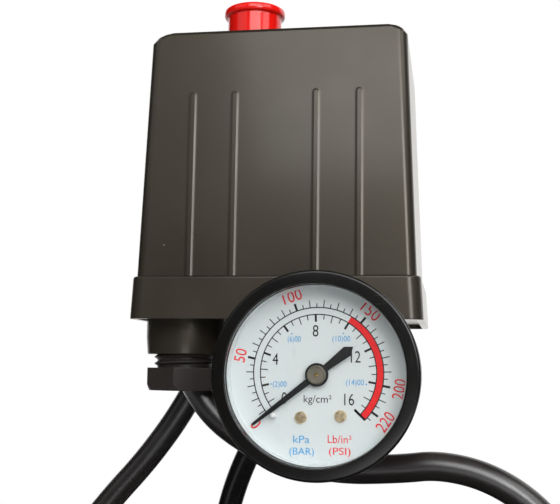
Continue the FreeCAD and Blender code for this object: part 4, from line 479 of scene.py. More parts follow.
def make_case_materials(case):
    surface("case_plastic", case.case_colour, 0.4, 1.0 / case.grain_size, 12.0, 0.16, patch_waves=26.0,
            soft_edge=case.edge_softness / MM, worn=(0.13, 0.115, 0.09), film=0.12, specks=0.7, sleek=0.5,
            **{"Specular IOR Level": 0.6, "Specular Tint": (1.0, 0.9, 0.74, 1.0), "Coat Weight": 0.45,
               "Coat Roughness": 0.15, "Coat Tint": (1.0, 0.96, 0.9, 1.0)})
    surface("gland_plastic", case.gland_colour, 0.4, 2600.0, 30.0, 0.2, wear=0.5, worn=(0.09, 0.08, 0.07),
            specks=0.5)
    surface("knob_plastic", case.knob_colour, 0.17, 900.0, 6.0, 0.04, gloss_swing=0.04, soft_edge=0.4,
            wear=0.25, worn=(0.85, 0.12, 0.08), film=0.05, specks=0.1, scuffs=0.3,
            **{"Coat Weight": 0.35, "Coat Roughness": 0.08, "Subsurface Weight": 0.06,
               "Subsurface Radius": (0.004, 0.0008, 0.0005)})
    surface("cast_enamel", (0.02, 0.02, 0.021), 0.45, 900.0, 120.0, 0.25, soft_edge=0.6, wear=0.7,
            worn=(0.3, 0.3, 0.3), specks=0.5)
    surface("black_rubber", (0.016, 0.015, 0.015), 0.62, 1600.0, 30.0, 0.2, wear=0.3, worn=(0.06, 0.06, 0.06),
            film=0.3)
    surface("phenolic_moulding", (0.05, 0.028, 0.018), 0.3, 1200.0, 10.0, 0.25, worn=(0.16, 0.11, 0.07))


def make_metals():
    metal = {"Metallic": 1.0}
    surface("zinc_plate", (0.6, 0.6, 0.57), 0.3, 2200.0, 10.0, 0.14, gloss_swing=0.1, wear=0.5,
            worn=(0.8, 0.8, 0.78), film=0.1, specks=0.1, scuffs=0.6, **metal)
    surface("spring_wire", (0.2, 0.2, 0.21), 0.32, 1800.0, 10.0, 0.2, wear=0.3, worn=(0.5, 0.5, 0.5),
            scuffs=0.5, **metal)
    surface("turned_aluminium", (0.72, 0.72, 0.73), 0.28, 1500.0, 10.0, 0.08, wear=0.3, worn=(0.9, 0.9, 0.9),
            scuffs=0.5, **metal)
    surface("machined_brass", (0.72, 0.5, 0.2), 0.24, 2400.0, 8.0, 0.16, worn=(0.92, 0.76, 0.42), film=0.05,
            specks=0.1, scuffs=0.6, **metal)
    surface("bronze_tube_metal", (0.55, 0.31, 0.12), 0.3, 1800.0, 8.0, 0.2, wear=0.3, worn=(0.8, 0.55, 0.3),
            scuffs=0.5, **metal)
    surface("tinned_copper", (0.66, 0.66, 0.64), 0.26, 2600.0, 10.0, 0.1, wear=0.3, scuffs=0.6, **metal)
    surface("screw_brass", (0.85, 0.7, 0.48), 0.33, 2600.0, 20.0, 0.2, soft_edge=0.06,
            worn=(0.95, 0.85, 0.66), film=0.0, specks=0.0, scuffs=0.4, **metal)
    surface("pointer_cap_metal", (0.4, 0.365, 0.3), 0.33, 4000.0, 6.0, 0.14, soft_edge=0.12,
            worn=(0.95, 0.84, 0.6), film=0.03, specks=0.0, **metal)


def make_gauge_materials(gauge):
    surface("gauge_rim_plastic", gauge.rim_colour, 0.23, 1500.0, 8.0, 0.12, gloss_swing=0.05,
            worn=(0.05, 0.045, 0.04), film=0.05, specks=0.5, scuffs=0.35)
    surface("pin_nylon", (0.8, 0.79, 0.77), 0.28, 1500.0, 4.0, 0.04, soft_edge=0.1, wear=0.05, film=0.02,
            specks=0.0)
    surface("pointer_enamel", (0.006, 0.006, 0.0065), 0.42, 3500.0, 8.0, 0.1, soft_edge=0.1, wear=0.15,
            film=0.02, specks=0.1)
    surface("dial_enamel", gauge.dial_colour, 0.34, 1400.0, 4.0, 0.02, soft_edge=0.1, wear=0.05,
            worn=(0.8, 0.8, 0.8), film=0.0, specks=0.15, scuffs=0.1, dust_and_sheen_colour=(0.3, 0.3, 0.3))
    for ink in ("black", "red", "blue"):
        surface("dial_" + ink + "_ink", getattr(gauge, ink + "_ink"), 0.45, 5000.0, 4.0, 0.1,
                patch_waves=900.0, soft_edge=0.02, wear=0.0, film=0.0, specks=0.0, scuffs=0.0)
    make_glass()


def make_glass():
    """Clear lens that lets the lamps through to the dial."""
    tree, shader = start_material(
        "gauge_glass", {"Base Color": (0.985, 0.992, 0.99, 1.0), "Transmission Weight": 1.0, "IOR": 1.49})
    smear = spread(tree, object_noise(tree, 90.0, 4.0, 0.6), 0.4, 0.75, 0.0, 0.035)
    tree.links.new(smear, shader.inputs["Roughness"])
    clear = node(tree, "ShaderNodeBsdfTransparent", {"Color": (0.97, 0.98, 0.98, 1.0)})
    path = node(tree, "ShaderNodeLightPath")
    either = node(tree, "ShaderNodeMixShader",
                  {0: path.outputs["Is Shadow Ray"], 1: shader.outputs[0], 2: clear.outputs[0]})
    tree.links.new(either.outputs[0], tree.nodes["Material Output"].inputs["Surface"])


def make_cord_materials(cords):
    # The leads' taupe film on their upward faces is partly dust and partly a painted sheen for the light on
    # their tops.
    surface("lead_sheath", cords.lead_colour, 0.36, 1300.0, 20.0, 0.2, patch_waves=70.0, wear=0.2,
            worn=(0.08, 0.07, 0.06), film=0.35, specks=0.5, dust_and_sheen_colour=(0.2, 0.18, 0.16),
            **{"Specular IOR Level": 1.0, "Coat Weight": 0.5, "Coat Roughness": 0.32})
    surface("nylon_tube", cords.tube_colour, 0.19, 500.0, 10.0, 0.1, soft_edge=0.2, wear=0.1, film=0.05,
            scuffs=0.5)
    surface("tie_nylon", (0.014, 0.014, 0.0145), 0.33, 1400.0, 10.0, 0.12)
    for core, colour in (("brown", (0.1, 0.035, 0.012)), ("blue", (0.02, 0.1, 0.4)),
                         ("green", (0.05, 0.25, 0.04))):
        surface("core_" + core + "_insulation", colour, 0.35, 1500.0, 10.0, 0.08)


# Shapes

def dress(material, *names):
    """Gives carried-over pieces of the frame a material."""
    for name in names:
        mesh = NODES[name].data
        mesh.materials.clear()
        mesh.materials.append(bpy.data.materials[material])


def add_object(name, data, material):
    """Puts a mesh or curve in the scene under its material's finish."""
    data.materials.append(bpy.data.materials[material])
    made = bpy.data.objects.new(name, data)
    bpy.context.scene.collection.objects.link(made)
    return made


def closed_mesh(bm, name):
    """Turns a bmesh into a mesh and frees it."""
    mesh = bpy.data.meshes.new(name)
    bm.to_mesh(mesh)
    bm.free()
    return mesh


def finish_piece(bm, name, material, stands_for=(), body=BODY, sharp=32.0):
    """Closes a bmesh as a finished piece with its place in its mesh."""
    bmesh.ops.remove_doubles(bm, verts=bm.verts, dist=MERGE)
    bmesh.ops.recalc_face_normals(bm, faces=bm.faces)
    mesh = closed_mesh(bm, name)
    mesh.shade_smooth()
    mesh.set_sharp_from_angle(angle=math.radians(sharp))
    piece = add_object(name, mesh, material)
    piece.modifiers.new("even_flats", "WEIGHTED_NORMAL").keep_sharp = True
    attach(piece, body)
    if stands_for:
        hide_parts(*stands_for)
    return piece


def move(bm, verts, x, y, z):
    """Shifts vertices by millimetres."""
    bmesh.ops.translate(bm, verts=verts, vec=(x * MM, y * MM, z * MM))


def turn(bm, verts, degrees):
    """Turns vertices about the Z axis."""
    bmesh.ops.rotate(bm, verts=verts, matrix=Matrix.Rotation(math.radians(degrees), 3, "Z"))


def block(bm, wide, deep, tall):
    """Box about the origin, in millimetres; gives its vertices."""
    made = bmesh.ops.create_cube(bm, size=1.0)["verts"]
    bmesh.ops.scale(bm, verts=made, vec=(wide * MM, deep * MM, tall * MM))
    return made


def disc(bm, radius, thick, segments):
    """Short cylinder about the origin, in millimetres; gives its vertices."""
    return bmesh.ops.create_cone(bm, cap_ends=True, segments=segments, radius1=radius * MM,
                                 radius2=radius * MM, depth=thick * MM)["verts"]


def lathe(bm, profile, steps, base=0.0):
    """Spins a line of (radius, height) points, in millimetres, round the Z axis."""
    line = [bm.verts.new((r * MM, 0.0, (base + z) * MM)) for r, z in profile]
    edges = [bm.edges.new(pair) for pair in zip(line, line[1:])]
    bmesh.ops.spin(bm, geom=line + edges, cent=(0, 0, 0), axis=(0, 0, 1), angle=2 * math.pi, steps=steps,
                   use_merge=True, use_duplicate=False)
    bmesh.ops.remove_doubles(bm, verts=bm.verts, dist=MERGE)


def bevel(bm, edges, width, segments):
    """Rounds edges by a width in millimetres; one segment gives a flat chamfer."""
    bmesh.ops.bevel(bm, geom=list(dict.fromkeys(edges)), offset=width * MM, offset_type="OFFSET",
                    segments=segments, profile=0.5, affect="EDGES", material=-1, clamp_overlap=True)


def edges_above(bm, level, angle=0.0):
    """Edges that lie wholly above a level in millimetres and fold by more than an angle in degrees."""
    return [e for e in bm.edges if min(v.co.z for v in e.verts) > level * MM
            and e.calc_face_angle(0.0) > math.radians(angle)]


def tapered_block(bm, foot, head, corner, pulled_in=0.0, segments=9):
    """Block with round upright corners between two levels: (left, right, half width, height)."""
    made = bmesh.ops.create_cube(bm, size=2.0)["verts"]
    low = [v for v in made if v.co.z < 0]
    high = [v for v in made if v.co.z > 0]
    for ends, (left, right, half, height) in ((low, foot), (high, head)):
        bmesh.ops.scale(bm, verts=ends, vec=((right - left) / 2 * MM, half * MM, 0.0))
        move(bm, ends, (left + right) / 2, 0.0, height)
    move(bm, [v for v in made if v.co.x > 0 and v.co.y < 0], -pulled_in, 0.0, 0.0)
    bevel(bm, [e for v in low for e in v.link_edges if e.other_vert(v) in high], corner, segments)
    bm.normal_update()


def lowest_face(bm):
    return min(bm.faces, key=lambda f: (round(f.calc_center_median().z, 7), f.normal.z))


def push_face(bm, face, level, taper=(1.0, 1.0), middle=0.0):
    """Extrudes a level face to another height, drawn in by a taper about its middle; gives the new face."""
    lifted = bmesh.ops.extrude_face_region(bm, geom=[face])["geom"]
    if face.is_valid:
        bmesh.ops.delete(bm, geom=[face], context="FACES_ONLY")
    verts = [g for g in lifted if isinstance(g, bmesh.types.BMVert)]
    bmesh.ops.translate(bm, verts=verts, vec=(0.0, 0.0, level * MM - verts[0].co.z))
    bmesh.ops.scale(bm, verts=verts, vec=(*taper, 1.0), space=Matrix.Translation((-middle * MM, 0.0, 0.0)))
    bm.normal_update()
    return next(g for g in lifted if isinstance(g, bmesh.types.BMFace))


def hollow(bm, face, wall, level, taper=(1.0, 1.0), middle=0.0):
    """Sinks a level face to another height inside a wall; gives the new face."""
    bmesh.ops.inset_region(bm, faces=[face], thickness=wall * MM, use_even_offset=True)
    return push_face(bm, face, level, taper, middle)


def open_hole(bm, faces, x, radius, segments=64):
    """Cuts a round hole through two level faces, one above the other, and joins its rims."""
    rims = []
    for face in faces:
        border = list(face.edges)
        up = round(face.normal.z)
        level = face.verts[0].co.z
        bmesh.ops.delete(bm, geom=[face], context="FACES_ONLY")
        rim = bmesh.ops.create_circle(bm, cap_ends=False, segments=segments, radius=radius * MM,
                                      matrix=Matrix.Translation((x * MM, 0.0, level)))["verts"]
        edges = list(dict.fromkeys(e for v in rim for e in v.link_edges))
        bmesh.ops.triangle_fill(bm, use_beauty=True, use_dissolve=False, edges=border + edges,
                                normal=(0, 0, up))
        rims += edges
    bmesh.ops.bridge_loops(bm, edges=rims)


def add_ridge(bm, x, side):
    """Low flat-topped ridge with sloping flanks and a round head, on the cover's front (-1) or back (1)."""
    foot, top = COVER_FOOT[3], RIDGE_TOP
    others = set(bm.verts)
    made = block(bm, RIDGE_WIDE, RIDGE_STANDS + RIDGE_DEEP, top - foot)
    move(bm, made, 0.0, (RIDGE_STANDS - RIDGE_DEEP) / 2, (top + foot) / 2)
    bevel(bm, [e for v in made if v.co.z > (top + foot) / 2 * MM for e in v.link_edges
               if abs(e.verts[0].co.y - e.verts[1].co.y) > 1e-4], RIDGE_WIDE * 0.49, 8)
    made = [v for v in bm.verts if v not in others]
    head = (top - RIDGE_WIDE / 2) * MM
    for v in made:
        drawn_in = 2 * RIDGE_FLANK / RIDGE_WIDE * (v.co.y / MM) / RIDGE_STANDS
        v.co.x *= 1 - drawn_in
        if v.co.z > head:
            v.co.z = head + (v.co.z - head) * (1 - drawn_in)
    lean = (COVER_FOOT[2] - COVER_HEAD[2]) / (COVER_HEAD[3] - foot)
    bmesh.ops.transform(bm, verts=made, matrix=Matrix((
        (1, 0, 0, x * MM), (0, side, -side * lean, side * (COVER_FOOT[2] + lean * foot) * MM), (0, 0, 1, 0),
        (0, 0, 0, 1))))


def build_cover():
    """Drafted shell, open below, with a sloping roof at both ends, a hole for the knob and its ridges."""
    bm = bmesh.new()
    tapered_block(bm, COVER_FOOT, COVER_HEAD, COVER_CORNER, COVER_TURN)
    top = COVER_HEAD[3]
    run, drop = ROOF_SLOPE
    for side, end in ((-1, COVER_HEAD[0]), (1, COVER_HEAD[1])):
        cut = bmesh.ops.bisect_plane(
            bm, geom=[*bm.verts, *bm.edges, *bm.faces], dist=MERGE,
            plane_co=((end - side * run) * MM, 0.0, top * MM),
            plane_no=Vector((side * drop, 0.0, run)).normalized(), clear_outer=True)["geom_cut"]
        bmesh.ops.holes_fill(bm, edges=[g for g in cut if isinstance(g, bmesh.types.BMEdge)], sides=0)
    bm.normal_update()
    bevel(bm, edges_above(bm, top - drop - 0.3, 12.0), ROOF_EDGE, 1)
    bm.normal_update()
    foot_half, head_half = ((level[1] - level[0]) / 2 - COVER_WALL for level in (COVER_FOOT, COVER_HEAD))
    taper = (head_half / foot_half, (COVER_HEAD[2] - COVER_WALL) / (COVER_FOOT[2] - COVER_WALL))
    middle = (COVER_FOOT[0] + COVER_FOOT[1]) / 2
    ceiling = hollow(bm, lowest_face(bm), COVER_WALL, top - COVER_ROOF, taper, middle)
    roof = max((f for f in bm.faces if f.normal.z > 0.999), key=lambda f: f.calc_area())
    open_hole(bm, (roof, ceiling), KNOB_X, KNOB_HOLE)
    for side in (-1, 1):
        for x in RIDGES:
            add_ridge(bm, x, side)
    finish_piece(bm, "cover_shell", "case_plastic", ("cover",), sharp=17.5)


def add_boss(bm, y):
    """Gland boss under the base, with its lower outer edge rounded."""
    boss = bmesh.new()
    lathe(boss, (*BOSS, BOSS[0]), 96)
    level = BOSS[1][1] * MM
    bevel(boss, [e for e in boss.edges if all(abs(v.co.z - level) < 2e-6 for v in e.verts)
                 and e.calc_face_angle(0.0) > math.radians(20)], BOSS_EDGE, 3)
    move(boss, boss.verts, GLAND_X, y, 0.0)
    mesh = closed_mesh(boss, "boss")
    bm.from_mesh(mesh)
    bpy.data.meshes.remove(mesh)


def build_base():
    """Flared skirt with a recess below, open above down to its floor, a square pad and two gland bosses."""
    bm = bmesh.new()
    tapered_block(bm, SKIRT_FOOT, SKIRT_HEAD, SKIRT_CORNER, SKIRT_TURN)
    bevel(bm, edges_above(bm, SKIRT_HEAD[3] - 0.001), SKIRT_EDGE, 6)
    bevel(bm, [e for e in bm.edges if all(v.co.z < (SKIRT_FOOT[3] + 0.01) * MM for v in e.verts)],
          SKIRT_FOOT_EDGE, 2)
    bm.normal_update()
    recess = SKIRT_FOOT[3] + SKIRT_RECESS
    hollow(bm, lowest_face(bm), SKIRT_RIM, recess)
    over = max(bm.faces, key=lambda f: (round(f.calc_center_median().z, 6), f.calc_area()))
    hollow(bm, over, SKIRT_WALL, FLOOR_TOP)
    pad = (-PAD_HALF, PAD_HALF, PAD_HALF)
    tapered_block(bm, (*pad, SKIRT_FOOT[3]), (*pad, recess + PAD_OVERLAP), PAD_CORNER)
    for y in (-GLAND_Y, GLAND_Y):
        add_boss(bm, y)
    finish_piece(bm, "base_moulding", "case_plastic", ("base",), sharp=38.0)


def copied(name):
    """Merged copy of a carried-over piece, as a start for one that stands for it."""
    bm = bmesh.new()
    bm.from_mesh(NODES[name].data)
    bmesh.ops.remove_doubles(bm, verts=bm.verts, dist=2e-6)
    bmesh.ops.dissolve_limit(bm, verts=bm.verts, edges=bm.edges, angle_limit=math.radians(0.6))
    return bm


def add_thread(bm, y, pitch):
    """Helical ridge round a gland nut's barrel."""
    low = NUT_TOP - THREAD_BELOW_NUT_TOP
    turns = (BOSS[0][1] + THREAD_INTO_BOSS - low - pitch * 0.8) / pitch
    steps = int(turns * 40)
    inside = THREAD_ROOT - 0.3
    line = [bm.verts.new(((GLAND_X + r) * MM, y * MM, (low + z) * MM))
            for r, z in ((inside, 0.0), (THREAD_ROOT, 0.02), (THREAD_CREST, pitch * 0.34),
                         (THREAD_CREST, pitch * 0.46), (THREAD_ROOT, pitch * 0.78), (inside, pitch * 0.8))]
    face = bm.faces.new(line)
    bmesh.ops.spin(bm, geom=[face, *face.edges, *line], cent=(GLAND_X * MM, y * MM, 0.0), axis=(0, 0, 1),
                   dvec=(0.0, 0.0, turns * pitch * MM / steps), angle=math.radians(360 * turns), steps=steps,
                   use_duplicate=False)


def build_gland(end, y, pitch):
    """Copy of a gland nut, turned to where it is tightened, its barrel thinned under a real thread."""
    bm = copied("gland_nut_" + end)

    def radius(v):
        return math.hypot(v.co.x - GLAND_X * MM, v.co.y - y * MM) / MM

    for v in bm.verts:
        if BARREL_BAND[0] < radius(v) < BARREL_BAND[1]:
            thinner = THREAD_ROOT / radius(v)
            bmesh.ops.scale(bm, verts=[v], vec=(thinner, thinner, 1.0),
                            space=Matrix.Translation((-GLAND_X * MM, -y * MM, 0.0)))
    bevel(bm, [e for e in bm.edges if e.calc_face_angle(0.0) > math.radians(35)
               and max(v.co.z for v in e.verts) < (NUT_TOP + 0.1) * MM
               and all(radius(v) > NUT_FLATS_OUTSIDE for v in e.verts)], NUT_EDGE, 2)
    place = Matrix.Translation((GLAND_X * MM, y * MM, 0.0))
    tightened = Matrix.Rotation(math.radians(NUT_TURN), 4, "Z")
    grown = Matrix.Diagonal((NUT_GROWTH, NUT_GROWTH, 1.0, 1.0))
    bmesh.ops.transform(bm, verts=bm.verts, matrix=place @ tightened @ grown @ place.inverted())
    add_thread(bm, y, pitch)
    finish_piece(bm, "gland_nut_" + end + "_threaded", "gland_plastic", ("gland_nut_" + end,),
                 sharp=28.0)


def build_knob():
    bm = bmesh.new()
    lathe(bm, KNOB_OUTLINE, 128)
    move(bm, bm.verts, KNOB_X, 0.0, 0.0)
    finish_piece(bm, "knob_button", "knob_plastic", ("knob",), "knob_body", sharp=40.0)


def build_range_spring():
    """Merged copy of the wound spring, hung on the piston's body."""
    spring = finish_piece(copied("range_spring"), "range_spring_wound", "spring_wire",
                          ("range_spring",), "piston_body", sharp=60.0)
    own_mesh(spring)


def finish_gauge_piece(bm, name, material, slot, stands_for=(), body=BODY, sharp=32.0):
    """Finishes a piece that was made looking up +Z: turns it to the reader, about the gauge's axis."""
    to_reader = Matrix.Rotation(math.radians(90), 4, "X")
    bmesh.ops.transform(bm, verts=bm.verts, matrix=Matrix.Translation((0, 0, GAUGE_Z * MM)) @ to_reader)
    finish_piece(bm, name, material, stands_for, body, sharp)


def turned_gauge_piece(outline, steps, base, name, material, slot, *, at=(0.0, 0.0), **settings):
    """Lathe-turned piece of the gauge that stands on a level of its axis."""
    bm = bmesh.new()
    lathe(bm, outline, steps, base)
    move(bm, bm.verts, *at, 0.0)
    finish_gauge_piece(bm, name, material, slot, **settings)


def build_pointer():
    """Flat blade with a point at its tail and a hub, their front edges bevelled."""
    bm = bmesh.new()
    other_edge = [(x, -y) for x, y in POINTER_EDGE]
    outline = [POINTER_EDGE[0], *other_edge, (POINTER_TAIL, 0.0), *POINTER_EDGE[:0:-1]]
    back = POINTER_FRONT - POINTER_THICK
    blade = bm.faces.new([bm.verts.new((x * MM, y * MM, back * MM)) for x, y in outline])
    lifted = bmesh.ops.extrude_face_region(bm, geom=[blade])["geom"]
    move(bm, [v for v in lifted if isinstance(v, bmesh.types.BMVert)], 0.0, 0.0, POINTER_THICK)
    move(bm, disc(bm, HUB_RADIUS, HUB_THICK, 48), 0.0, 0.0, POINTER_FRONT - HUB_DROP)
    bevel(bm, edges_above(bm, POINTER_FRONT - 0.05, 60.0), POINTER_BEVEL, 2)
    turn(bm, bm.verts, POINTER_ZERO)
    finish_gauge_piece(bm, "pointer_blade", "pointer_enamel", "pointer_black", ("pointer",), "pointer_body")


def cross_screw(bm, radius, height):
    """Pan head with a cross recess, on the plane z = 0; gives its vertices."""
    before = set(bm.verts)
    arm, narrow = radius * 0.72, math.sin(math.radians(15.0))
    lathe(bm, ((0.0, -0.3), (radius, -0.3), (radius, height * 0.4), (radius * 0.93, height * 0.7),
               (radius * 0.82, height * 0.92), (arm, height), (arm * 0.82, height * 0.2),
               (0.0, height * 0.12)), 24)
    head = [v for v in bm.verts if v not in before]
    for v in head:
        r = math.hypot(v.co.x, v.co.y) / MM
        if v.co.z > 0 and arm * 0.8 < r < arm * 1.02:
            off_arm = abs((math.degrees(math.atan2(v.co.y, v.co.x)) + 405.0) % 90.0 - 45.0)
            pull = min(1.0, narrow / max(math.sin(math.radians(off_arm)), 1e-6))
            bmesh.ops.scale(bm, verts=[v], vec=(pull, pull, 1.0))
    return head


def build_dial_screws():
    bm = bmesh.new()
    for x, y, turned in DIAL_SCREWS:
        made = cross_screw(bm, SCREW_RADIUS, SCREW_RISE)
        turn(bm, made, turned)
        move(bm, made, x, y, DIAL_FACE)
    finish_gauge_piece(bm, "dial_screw_heads", "screw_brass", "brass_part", ("dial_screws",))


def dial_arc(bm, inner, outer, start, end):
    """Flat printed band on the dial between two radii and two angles."""
    before = set(bm.verts)
    low, high = DIAL_FACE, DIAL_FACE + INK
    corners = [bm.verts.new((r * MM, 0.0, z * MM))
               for r, z in ((inner, low), (outer, low), (outer, high), (inner, high))]
    face = bm.faces.new(corners)
    turn(bm, corners, start)
    steps = max(8, int(abs(end - start) / 2))
    bmesh.ops.spin(bm, geom=[face, *face.edges, *corners], cent=(0, 0, 0), axis=(0, 0, 1),
                   angle=math.radians(end - start), steps=steps, use_duplicate=False)
    move(bm, [v for v in bm.verts if v not in before], *PRINT_AT, 0.0)


def dial_tick(bm, angle, start, end, width):
    """Printed line that points at the middle of the dial's print."""
    made = block(bm, end - start, width, INK)
    move(bm, made, (start + end) / 2, 0.0, DIAL_FACE + INK / 2)
    turn(bm, made, angle)
    move(bm, made, *PRINT_AT, 0.0)


def dial_words(bm, words, place, wide, tall, turned=0.0):
    """Printed words of a given width and capital height, centred on a place of the dial."""
    text = bpy.data.curves.new("words", "FONT")
    text.body = words
    text.align_x = "CENTER"
    text.size = 1.0
    text.extrude = 0.5
    text.resolution_u = 4
    holder = bpy.data.objects.new("words", text)
    flat = bpy.data.meshes.new_from_object(holder)
    xs = [v.co.x for v in flat.vertices]
    low, high = min(xs), max(xs)
    flat.transform(Matrix.Translation((-(low + high) / 2, -FIGURE_RISE / 2, 0.0)))
    flat.transform(Matrix.Diagonal((wide * MM / (high - low), tall * MM / FIGURE_RISE, INK * MM, 1.0)))
    flat.transform(Matrix.Rotation(math.radians(turned), 4, "Z"))
    flat.transform(Matrix.Translation((place[0] * MM, place[1] * MM, (DIAL_FACE + INK / 2) * MM)))
    bm.from_mesh(flat)
    bpy.data.objects.remove(holder)
    bpy.data.curves.remove(text)
    bpy.data.meshes.remove(flat)


def scale_angle(scale, value):
    """Angle of a value on a scale that is given at some of its marks."""
    for (a, at_a), (b, at_b) in zip(scale, scale[1:]):
        if value <= b:
            return at_a + (at_b - at_a) * (value - a) / (b - a)
    return scale[-1][1]


def print_scales(black, red, inner, outer):
    """Both rings with their marks, and the red limit band between them."""
    for radius in (inner, outer):
        dial_arc(black, radius - RING_HALF, radius + RING_HALF, POINTER_ZERO, BAND_END)
    for half in range(2, 2 * KILOGRAM_FULL + 1):
        value = half / 2
        reach = 1.9 if value % 1 == 0 else 1.3
        wide = 0.56 if value % 2 == 0 else FINE_LINE
        dial_tick(black, scale_angle(KILOGRAM_SCALE, value), inner - reach, inner, wide)
    for value in range(5, POUND_FULL + 1, 5):
        reach = 1.95 if value % 10 == 0 else 1.1
        wide = 0.6 if value % 50 == 0 or value == POUND_FULL else FINE_LINE
        dial_tick(black, scale_angle(POUND_SCALE, value), outer, outer + reach, wide)
    dial_tick(black, LAST_TICK, outer, outer + 1.1, FINE_LINE)
    dial_tick(black, BAND_END, inner - 1.85, outer + 0.05, 0.62)
    dial_arc(red, inner + RING_HALF, outer - RING_HALF, BAND_START, BAND_END + 0.8)


def build_dial_print(gauge):
    """Scales, figures and units, one piece for each ink."""
    prints = {ink: bmesh.new() for ink in ("black", "red", "blue")}
    print_scales(prints["black"], prints["red"], gauge.inner_ring / MM, gauge.outer_ring / MM)
    for words, place, wide in INNER_FIGURES:
        dial_words(prints["black"], words, place, wide, gauge.figure_height / MM)
    for value in POUND_FIGURES:
        angle = scale_angle(POUND_SCALE, value)
        place = (PRINT_AT[0] + POUND_FIGURE_RADIUS * math.cos(math.radians(angle)),
                 PRINT_AT[1] + POUND_FIGURE_RADIUS * math.sin(math.radians(angle)))
        dial_words(prints["red"], str(value), place, POUND_FIGURE_WIDE * len(str(value)), POUND_FIGURE_TALL,
                   angle + (90.0 if value >= UPRIGHT_FROM else -90.0))
    for ink, words, place, wide, tall in UNITS:
        dial_words(prints[ink], words, place, wide, tall)
    for words, place, wide, dot in SMALL_FIGURES:
        dial_words(prints["blue"], words, place, wide, SMALL_FIGURE_TALL)
        move(prints["blue"], disc(prints["blue"], DOT_RADIUS, INK, 16), *dot, DIAL_FACE + INK / 2)
    for ink, bm in prints.items():
        finish_gauge_piece(bm, "dial_print_" + ink, "dial_" + ink + "_ink", "dial")


def cord_curve(name, points, diameter, material, stands_for=()):
    """Smooth free cord: the route's points are the control points of one NURBS line."""
    curve = bpy.data.curves.new(name, "CURVE")
    curve.dimensions = "3D"
    line = curve.splines.new("NURBS")
    line.points.add(len(points) - 1)
    for point, place in zip(line.points, points):
        point.co = (*(value * MM for value in place), 1.0)
    line.order_u = 3
    line.use_endpoint_u = True
    line.resolution_u = 10
    curve.bevel_depth = diameter / 2
    curve.bevel_resolution = 7
    curve.use_fill_caps = True
    piece = add_object(name, curve, material)
    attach(piece, BODY)
    if stands_for:
        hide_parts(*stands_for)
    return piece


def coil_points(steps=7):
    """Half turns of the put-away mains lead: spiral in, climb to the second layer, spiral out."""
    points = []
    radius, centre, y, side = COIL_R, COIL_X, COIL_Y - COIL_STEP, -1
    wide = 1.0 / math.cos(math.pi / steps / 2)
    for n in range(COIL_TURNS_IN + 1 + COIL_TURNS_OUT):
        climb = 2 * COIL_STEP if n == COIL_TURNS_IN else 0.0
        for k in range(steps):
            t = math.pi * (k + 0.5) / steps
            points.append((centre + side * radius * wide * math.cos(t), y + climb * t / math.pi,
                           COIL_Z + side * radius * wide * math.sin(t)))
        end = centre - side * radius
        y += climb
        radius += -COIL_STEP if n < COIL_TURNS_IN else COIL_STEP
        centre = end + side * radius
        side = -side
    return points


def lay_motor_lead(diameter):
    """Sheath under the gauge and down to three bare cores with their ferrules."""
    end = MOTOR_ROUTE[-1]
    for n, core in enumerate(("core_brown", "core_green", "core_blue")):
        points = [(end[0] + (n - 1) * CORE_PITCH, end[1] + y, end[2] + z) for y, z in CORE_ROUTE]
        cord_curve(core, points, CORE_DIAMETER * MM, core + "_insulation")
    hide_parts("motor_cores")
    motor = cord_curve("motor_lead_sheath", MOTOR_ROUTE, diameter, "lead_sheath", ("motor_lead",))


def lay_mains_lead(diameter):
    """Free stretch, coil in two layers and tail to the plug, as one line."""
    start, end = ((COIL_X - COIL_R, COIL_Y + step, COIL_Z) for step in (-COIL_STEP, COIL_STEP))
    route = [*MAINS_ROUTE, start, *coil_points(), end, *TAIL_ROUTE]
    mains = cord_curve("mains_lead_sheath", route, diameter, "lead_sheath",
                       ("mains_lead", "mains_coil", "mains_tail"))


def lay_unloader_tube(diameter):
    tube = cord_curve("unloader_tube_nylon", UNLOADER_ROUTE, diameter, "nylon_tube",
                      ("unloader_tube",))


# Stage

def stage_paint(name, colour, darkest, settings):
    """Matt paint that is very slightly uneven."""
    tree, shader = start_material(name, settings)
    tone = spread(tree, object_noise(tree, 3.0), 0.3, 0.7, darkest, 1.0)
    tree.links.new(scaled_colour(tree, colour, tone), shader.inputs["Base Color"])


def stage_disc(bm, radius, y, level, segments):
    bmesh.ops.create_circle(bm, cap_ends=True, segments=segments, radius=radius,
                            matrix=Matrix.Translation((0.0, y, level)))


def build_floor(colour, level):
    stage_paint("floor_paint", colour, 0.985, {"Roughness": 0.7})
    bm = bmesh.new()
    stage_disc(bm, FLOOR_RADIUS, FLOOR_MIDDLE, level, 96)
    add_object("floor", closed_mesh(bm, "floor"), "floor_paint")


def build_dark_card(colour, floor_level):
    """Dark surroundings, seen only in gloss and through the lens: a bent card, a ceiling and a mat."""
    stage_paint("card_paint", colour, 0.9, {"Roughness": 1.0, "Specular IOR Level": 0.0})
    bm = bmesh.new()
    line = [bm.verts.new((0.0, -CARD_RADIUS, z)) for z in CARD_LEVELS]
    turn(bm, line, CARD_LEFT)
    bmesh.ops.spin(bm, geom=[*line, bm.edges.new(line)], cent=(0, 0, 0), axis=(0, 0, 1),
                   angle=math.radians(CARD_RIGHT - CARD_LEFT), steps=40, use_duplicate=False)
    stage_disc(bm, CARD_CEILING[0], 0.0, CARD_CEILING[1], 48)
    stage_disc(bm, CARD_FLOOR[0], 0.0, floor_level + CARD_FLOOR[1], 48)
    card = add_object("dark_card", closed_mesh(bm, "dark_card"), "card_paint")
    card.visible_camera = card.visible_diffuse = card.visible_shadow = False


